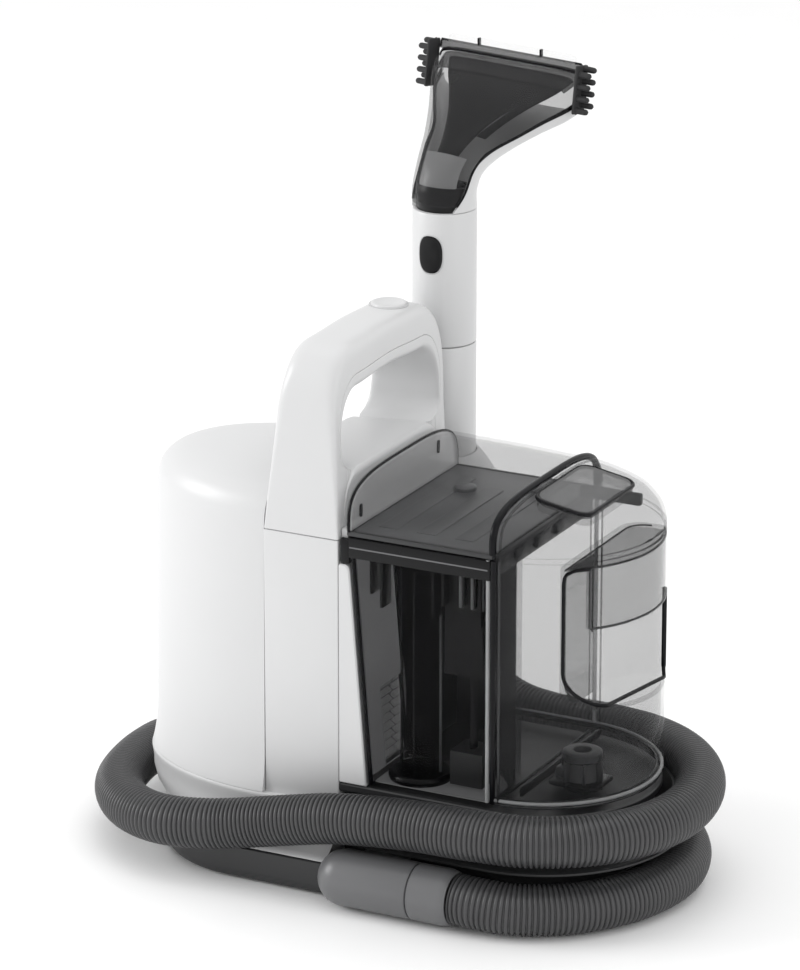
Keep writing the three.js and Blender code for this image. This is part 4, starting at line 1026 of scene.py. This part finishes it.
def latch():
    """The latch's plate, which follows the hood's curve, and its frame in the hood."""
    low, high = LATCH_LOW, LATCH_HIGH
    outline = rounded([(low.x, low.y), (high.x, low.y), (high.x, high.y), (low.x, high.y)], 9, 8)
    middle = Vector(((low.x + high.x) / 2, 0))
    proud = 0.9                                 # how far the plate stands out of the hood

    def grown(out):
        return [p + (p - middle).normalized() * out for p in outline]

    plate = drape(grown(-GAP), proud)
    under = [(p[0], p[1], p[2] - 5) for p in plate[0]]
    edge = [(p[0], p[1], p[2] - 0.7) for p in drape(outline, proud, 1)[0]]
    piece("latch_plate", loft([under, edge, *plate]), PLATE, "lid_latch", ["latch_button"])
    rim = [Vector((p.x, p.y, hood_height(p.x, p.y) - 0.3)) for p in grown(1.6)]
    piece("latch_rim", sweep(rim, 1.3, 8, True), SMOKE_EDGE, "lid")
    under_rim = [Vector((p.x, p.y, p.z - 7)) for p in rim]
    piece("latch_housing", loft([rim, under_rim], False, False), SMOKE_LIGHT, "lid")


def lid():
    """The dark plate, frame, band and gasket that close the tank."""
    low, high = cad("lid_plate")
    plate = block((low.x, low.y, low.z), (TANK_CENTRE - 1, high.y, high.z), 1.2)
    ribs = [block((14 + 26 * k, -58, high.z - 0.8), (27 + 26 * k, 52 - 14 * (k % 2), high.z + 0.5), 0.9)
            for k in range(3)]
    bosses = [turned([(7, high.z - 0.5), (7, high.z + 2.2), (5.5, high.z + 3), (1, high.z + 3)], (x, y), 32)
              for x, y in ((30, 30), (72, 48))]
    piece("lid_deck", joined(plate, *ribs, *bosses), DECK, "lid", ["lid_plate"])
    back, side, front, top = 0.6, HALF - 0.3, TANK_CENTRE, high.z + 0.2
    beams = [block((back, -side, low.z), (front, -side + 3, top), 0.9),
             block((back, side - 3, low.z), (front, side, top), 0.9),
             block((back, -side + 3, low.z), (3, side - 3, top), 0.9)]
    piece("lid_frame", joined(*beams), GREY, "lid")
    levels = ((0.2, low.z), (0.2, high.z), (2.2, high.z), (2.2, low.z))
    rings = [clean_outline(inset, z)[:ROUND_END] for inset, z in levels]
    rings.append(rings[0])
    points, faces = loft(rings, False, False)
    faces = [f for f in faces if f[0] % ROUND_END != ROUND_END - 1]     # open towards the box
    piece("lid_band", (points, faces), CLEAR, "lid", ["lid_rim"])
    low, high = cad("lid_gasket")
    levels = [(2.9, low.z), (2.6, low.z + 1), (2.6, high.z - 3), (0.4, high.z - 2.6),
              (0.3, high.z + 0.4), (4.6, high.z + 0.6), (4.6, low.z)]
    band = loft([dirty_outline(inset, z) for inset, z in levels], False, False)
    piece("gasket_skin", band, BLACK, "lid", ["lid_gasket"])
    lid_ribs()


def lid_ribs():
    """The dark rib over the hood, and the cross bar, clips, runner and hook under it."""
    start, far = TANK_CENTRE, HALF
    over = [Vector(p) + Vector((0, 0, 0.2)) for p in hood_section(start, 40)]
    edge_line("hood_rib", over, 2.3, SMOKE_EDGE, "lid", sides=12)
    inner = [Vector((p.x + 4, p.y * 0.97, HOOD_LOW.z + (p.z - HOOD_LOW.z) * 0.93)) for p in over]
    edge_line("hood_inner_rib", inner, 0.9, SMOKE_LIGHT, "lid")
    cross = block((start - 1, -far + 3, 223), (start + 4, far - 14, 235.5), 1.5)
    clips = [block((start + 4, y, 226), (start + 6, y + 14, 233), 0.9) for y in (-52, -24, 4)]
    piece("lid_crossbar", joined(cross, *clips), BLACK, "lid")
    runner = block((start + 2, far - 32, 238), (LATCH_HIGH.x, far - 27, 246), 1.5)
    piece("lid_runner", runner, SMOKE_DEEP, "lid")
    hook = block((-4.4, -far + 0.2, 214.5), (2.4, -far + 4, 231), 1.4)
    piece("lid_hook", hook, BLACK, "lid")


# ---- Connector and hand tool ------------------------------------------------------------------
def connector():
    """The elbow that the hose plugs into: a barrel along X, an elbow into the base, and the cuff."""
    low, high = cad("hose_connector")
    axis_y, axis_z = low.y + 18, (low.z + high.z) / 2
    radius, bore = (high.z - low.z) / 2, 12.5
    nose = [(radius * math.sin(a), low.x + radius * (1 - math.cos(a))) for a in quarter(14)[1:]]
    body = [*nose, (radius, high.x - 1.4), (radius - 0.5, high.x - 0.4), (radius - 1.4, high.x),
            (bore, high.x)]
    turn = Matrix.Translation((0, axis_y, axis_z)) @ Matrix.Rotation(math.pi / 2, 4, "Y")
    barrel = moved(turned(body, (0, 0)), turn)
    elbow = loft([[(26 + r * math.cos(a), y, axis_z + r * math.sin(a)) for a in around(48)]
                  for y, r in ((axis_y, 14), (high.y - 8, 15), (high.y - 4, 16.5), (high.y, 17))])
    piece("connector_skin", joined(barrel, elbow), CUFF, replaces=["hose_connector"])
    low, high = cad("hose_base_cuff")
    cuff = [(bore, low.x), (radius - 1, low.x), (radius, low.x + 1), (radius, high.x - 5),
            (radius - 0.8, high.x - 1.2), (radius - 2, high.x), (15, high.x), (14, high.x - 2)]
    piece("cuff_skin", moved(turned(cuff, (0, 0)), turn), CUFF,
          replaces=["hose_base_cuff"])


def holder():
    """The holder on the housing's far side: a round block cut flat, with a bore for the wand."""
    low, high = cad("tool_holder")
    levels = ((low.z, 36), (low.z + 1.5, 38), (low.z + 4, 38.5), (209, 38.5), (214, 37.5), (228, 29),
              (234, 24.5), (high.z, 22.5))
    rings = [[(WAND_AXIS.x + radius * math.cos(a),
               min(max(WAND_AXIS.y + radius * math.sin(a), low.y), high.y), z) for a in around(72)]
             for z, radius in levels]
    loose = WAND_RADIUS + 0.5
    bore = turned([(loose, low.z - 5), (loose, high.z + 5)], WAND_AXIS, 72)
    body = combined(bare_object("holder_skin", loft(rings)), bore)
    finished(body, WHITE, "root", ["tool_holder"])


def on_wand(x, z, out):
    """A point on the near side of the wand, x from its axis, at that distance from its skin."""
    angle = x / WAND_RADIUS
    reach = WAND_RADIUS + out
    return Vector((WAND_AXIS.x + reach * math.sin(angle), WAND_AXIS.y - reach * math.cos(angle), z))


def trigger_ring(scale, out, grow=0.0):
    """An oval drawn on the near side of the wand, at that distance from its skin."""
    low, high = TRIGGER_LOW, TRIGGER_HIGH
    middle, wide, tall = (low.z + high.z) / 2, (high.x - low.x) / 2, (high.z - low.z) / 2
    square = 0.8
    ring = []
    for a in around(48):
        c, s = math.cos(a), math.sin(a)
        ring.append(on_wand((wide + grow) * scale * math.copysign(abs(c) ** square, c),
                            middle + (tall + grow) * scale * math.copysign(abs(s) ** square, s), out))
    return ring


def wand():
    """The wand in two tubes, the upper one with a slot for the trigger, and its black neck."""
    r, seam, foot, top = WAND_RADIUS, WAND_LOW.z, WAND_FOOT.z, WAND_HIGH.z
    lower = [(r - 2.5, foot), (r - 0.6, foot), (r, foot + 1), (r, seam - 1.2), (r - 0.5, seam - 0.4),
             (r - 2, seam - 0.3)]
    piece("wand_foot", turned(lower, WAND_AXIS), WHITE, "tool", ["wand_lower"])
    upper = [(r - 2, seam + 0.1), (r - 0.5, seam + 0.2), (r, seam + 0.9), (r, top - 1.4),
             (r - 0.4, top - 0.4), (r - 1.2, top), (r - 2.6, top), (r - 3, top - 1), (r - 3, top - 14)]
    face = WAND_AXIS.y - r
    slot = loft([[(q.x, y, q.z) for q in trigger_ring(1, 0.4, 0.2)] for y in (face - 4, face + 9)])
    head = combined(bare_object("wand_head", turned(upper, WAND_AXIS)), slot)
    finished(head, WHITE, "tool", ["wand_upper"])
    neck = [(r - 3.2, top - 12), (r - 3.2, top + 0.4), (r - 4.4, top + 1.6), (r - 6, top + 1.6),
            (r - 7, top - 10)]
    piece("wand_neck", turned(neck, WAND_AXIS), BLACK, "tool")


def trigger():
    cap = [trigger_ring(1, -4), trigger_ring(1, 0.2), trigger_ring(0.93, 0.9), trigger_ring(0.75, 0.9),
           trigger_ring(0.4, 0.3), trigger_ring(0.1, 0.1)]
    piece("trigger_cap", loft(cap), BLACK, "trigger", ["trigger"])
    bezel = [trigger_ring(1, -1.5, 0.2), trigger_ring(1, 0.25, 0.2), trigger_ring(1, 0.3, 0.5),
             trigger_ring(1, 0, 1.1), trigger_ring(1, -1.5, 1.1)]
    piece("trigger_bezel", loft([*bezel, bezel[0]], False, False), SHADE, "tool")


NOZZLE_YAW = -10.75
NOZZLE_SECTIONS = [
    # forward, height, lean in degrees, half width, upper and lower depth, squareness, and the
    # angle below the middle of its side where the smoked cover meets the white back
    (0, 397, 0, 20.5, 20.5, 20.5, 1, 38), (0, 409, 4, 20.5, 20.5, 20.5, 1, 12),
    (5, 422, 22, 21, 18, 20.5, 0.9, 4), (14, 434, 42, 25, 12, 20, 0.7, -3),
    (28, 445.5, 58, 33, 10, 19.5, 0.5, -8), (43, 455, 72, 43.5, 10, 19, 0.4, -6),
    (58, 462.5, 82, 53.5, 10, 19, 0.34, -4), (71.3, 468.5, 90, 57.5, 10.5, 19.5, 0.3, -3),
]


def nozzle_ring(place, start, stop, inset, wall, narrow=1.0, steps=28):
    """A thin-walled strip of one section of the nozzle, from one angle to the other."""
    forward, height, lean, wide, upper, lower, power, _ = place

    def edge(drawn, a, b):
        made = []
        for k in range(steps + 1):
            angle = math.radians(a + (b - a) * k / steps)
            c, s = math.cos(angle), math.sin(angle)
            deep = upper if s < 0 else lower
            made.append((math.copysign(abs(c) ** power, c) * (wide - drawn) * narrow,
                         math.copysign(abs(s) ** power, s) * (deep - drawn)))
        return made

    tilt = math.radians(lean)
    section = edge(inset, start, stop) + edge(inset + wall, stop, start)
    return [(u, forward + v * math.cos(tilt), height - v * math.sin(tilt)) for u, v in section]


def meeting(place):
    """The angle at which the smoked cover meets the white back in one section."""
    return place[-1]


def nozzle_frame():
    return Matrix.Translation(WAND_AXIS) @ Matrix.Rotation(math.radians(NOZZLE_YAW), 4, "Z")


def nozzle_piece(name, shape, material, replaces=()):
    """A piece of the nozzle, drawn on the wand's axis and turned to face as the nozzle does."""
    piece(name, moved(shape, nozzle_frame()), material, "nozzle", replaces)


def nozzle_strip(name, places, angles, depths, material, replaces=()):
    """A thin strip that runs along the nozzle between two angles."""
    rings = [nozzle_ring(place, *angles, *depths) for place in places]
    nozzle_piece(name, loft(rings), material, replaces)


def nozzle():
    """The white back, the smoked cover and what shows through it."""
    places = smooth_line(NOZZLE_SECTIONS, 6)
    back = [nozzle_ring(p, 1 - meeting(p), 179 + meeting(p), 0, 2.5) for p in places]
    nozzle_piece("nozzle_shell", loft(back), WHITE, ["nozzle_back"])
    cover = [nozzle_ring(p, 181 + meeting(p), 359 - meeting(p), 0, 2.2) for p in places[2:]]
    nozzle_piece("nozzle_window", loft(cover), SMOKE_LIGHT, ["nozzle_cover"])
    for name, start, side in (("left", 181, 1), ("right", 359, -1)):
        angles = [start + side * meeting(p) for p in places[2:]]
        seam = [nozzle_ring(p, a - 1.2, a + 1.2, -0.3, 1.4) for p, a in zip(places[2:], angles)]
        nozzle_piece(f"nozzle_seam_{name}", loft(seam), SMOKE_EDGE)
    count = len(places) - 10
    throat = [nozzle_ring(p, 200, 340, 4, 2, 0.34 + 0.6 * min(k / count, 1))
              for k, p in enumerate(places[8:-1])]
    nozzle_piece("nozzle_throat", loft(throat), BLACK, ["nozzle_duct"])
    nozzle_strip("nozzle_channel", places[20:-1], (300, 334), (5.5, 1.5), BLACK)
    nozzle_strip("mouth_band", places[-7:], (188, 352), (2.6, 1), BROW)
    nozzle_strip("nozzle_insert", places[6:15], (236, 330), (3, 1.4), SHADE)
    nozzle_strip("nozzle_collar", places[:8], (0, 359), (2.6, 3), BLACK)
    nozzle_strip("mouth_edge", places[-2:], (184, 356), (-0.2, 0.9), SMOKE_EDGE)
    nozzle_mouth(places[-1])
    for name, side in (("rear", -1), ("front", 1)):
        nubs(name, side, NOZZLE_SECTIONS[-1], nozzle_frame())


def nozzle_mouth(mouth):
    """The clear lip over the nozzle's mouth, the smoked strip under it, and two small ticks."""
    forward, height, _, wide, upper, *_ = mouth
    top, half, lip_top = height + upper, 50, 488
    lip = rounded([(-half, top + 3), (half, top + 3), (half, lip_top), (-half, lip_top)],
                  [0.5, 0.5, 5, 5], 6)
    nozzle_piece("mouth_lip", loft([[(x, y, z) for x, z in lip] for y in (forward - 1.8, forward)]),
                 CLEAR_FAINT)
    brow = rounded([(-wide, top - 2), (wide, top - 2), (wide - 3, top + 4), (-wide + 1, top + 4)],
                   [0.5, 0.5, 1.5, 1.5], 4)
    nozzle_piece("mouth_brow", loft([[(x, y, z) for x, z in brow] for y in (forward - 1.6, forward + 0.2)]),
                 BROW)
    edge = [Vector((x, forward - 0.8, z)) for x, z in ((-wide + 0.5, top - 1), (-wide + 1.5, top + 3.8),
                                                       (wide - 3.5, top + 3.8), (wide - 0.5, top - 1))]
    nozzle_piece("mouth_brow_edge", sweep(edge, 0.8, 8), SMOKE_EDGE)
    ticks = [block((x - 0.6, forward - 2.4, 483), (x + 0.6, forward + 0.4, lip_top), 0.4)
             for x in (-26, 23)]
    nozzle_piece("mouth_ticks", joined(*ticks), SMOKE_EDGE)


def nubs(name, side, mouth, place):
    """Soft pad on one end of the mouth with two staggered columns of round-ended nubs."""
    rows, pitch, stagger, column, length, radius = 4, 7.6, 3.4, 5.2, 8.5, 1.95
    forward, height, _, wide, *_ = mouth
    face, half, thick = wide + GAP + 1.6, (6, 15.5), 2
    ends = sorted((side * (face - thick), side * face))
    plate = block((ends[0], -half[0], -half[1]), (ends[1], *half), 0.9)
    shapes = [plate]
    profile = [(radius + 0.8, -0.5), (radius + 0.1, 0.6), (radius, length - 2.2),
               (radius * 0.86, length - 0.9), (radius * 0.5, length - 0.2), (0.2, length)]
    lay = Matrix.Rotation(side * math.pi / 2, 4, "Y")
    for row in range(rows):
        for k in (-0.5, 0.5):
            at = Matrix.Translation((side * face, k * column,
                                     (row - (rows - 1) / 2) * pitch + k * stagger))
            shapes.append(moved(turned(profile, (0, 0), 16), at @ lay))
    lean = Matrix.Translation((0, forward - 8, height)) @ Matrix.Rotation(math.radians(-8), 4, "X")
    piece(f"nubs_{name}", moved(joined(*shapes), place @ lean), RUBBER, "nozzle",
          [f"nub_strip_{name}"])


# ---- CAD pieces that keep their own shape -----------------------------------------------------
def finish_cad(obj, material):
    obj.data.materials.clear()
    obj.data.materials.append(material)
    smoothed(obj, 40)
    bevelled(obj, 0.4, 50, 2)


def kept_pieces():
    """Materials and softened edges for the CAD pieces that nothing replaces."""
    looks = {RUBBER: ["foot_", "docking_seal", "cord_inlet", "clean_valve_poppet"],
             STEEL: ["base_screw_", "motor_can", "bearing_", "motor_shaft", "pump_plunger"],
             GREY: ["fan_housing", "air_duct", "impeller", "hose_wand_cuff", "float"],
             BLACK: ["pump_body", "separator"], BOARD: ["circuit_board"]}
    shown = {n: o for n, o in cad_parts.items() if not o.hide_render}
    for material, starts in looks.items():
        for name, obj in shown.items():
            if name.startswith(tuple(starts)):
                finish_cad(obj, material)


studio()
connector()
hose()
rear_shell()
skirt()
base()
tray()
handle()
saddle()
panels()
bulkhead()
grille()
power_button()
clean_tank()
pocket_edges()
tank_trim()
dirty_tank()
fittings()
hood()
latch()
lid()
holder()
wand()
trigger()
nozzle()
kept_pieces()
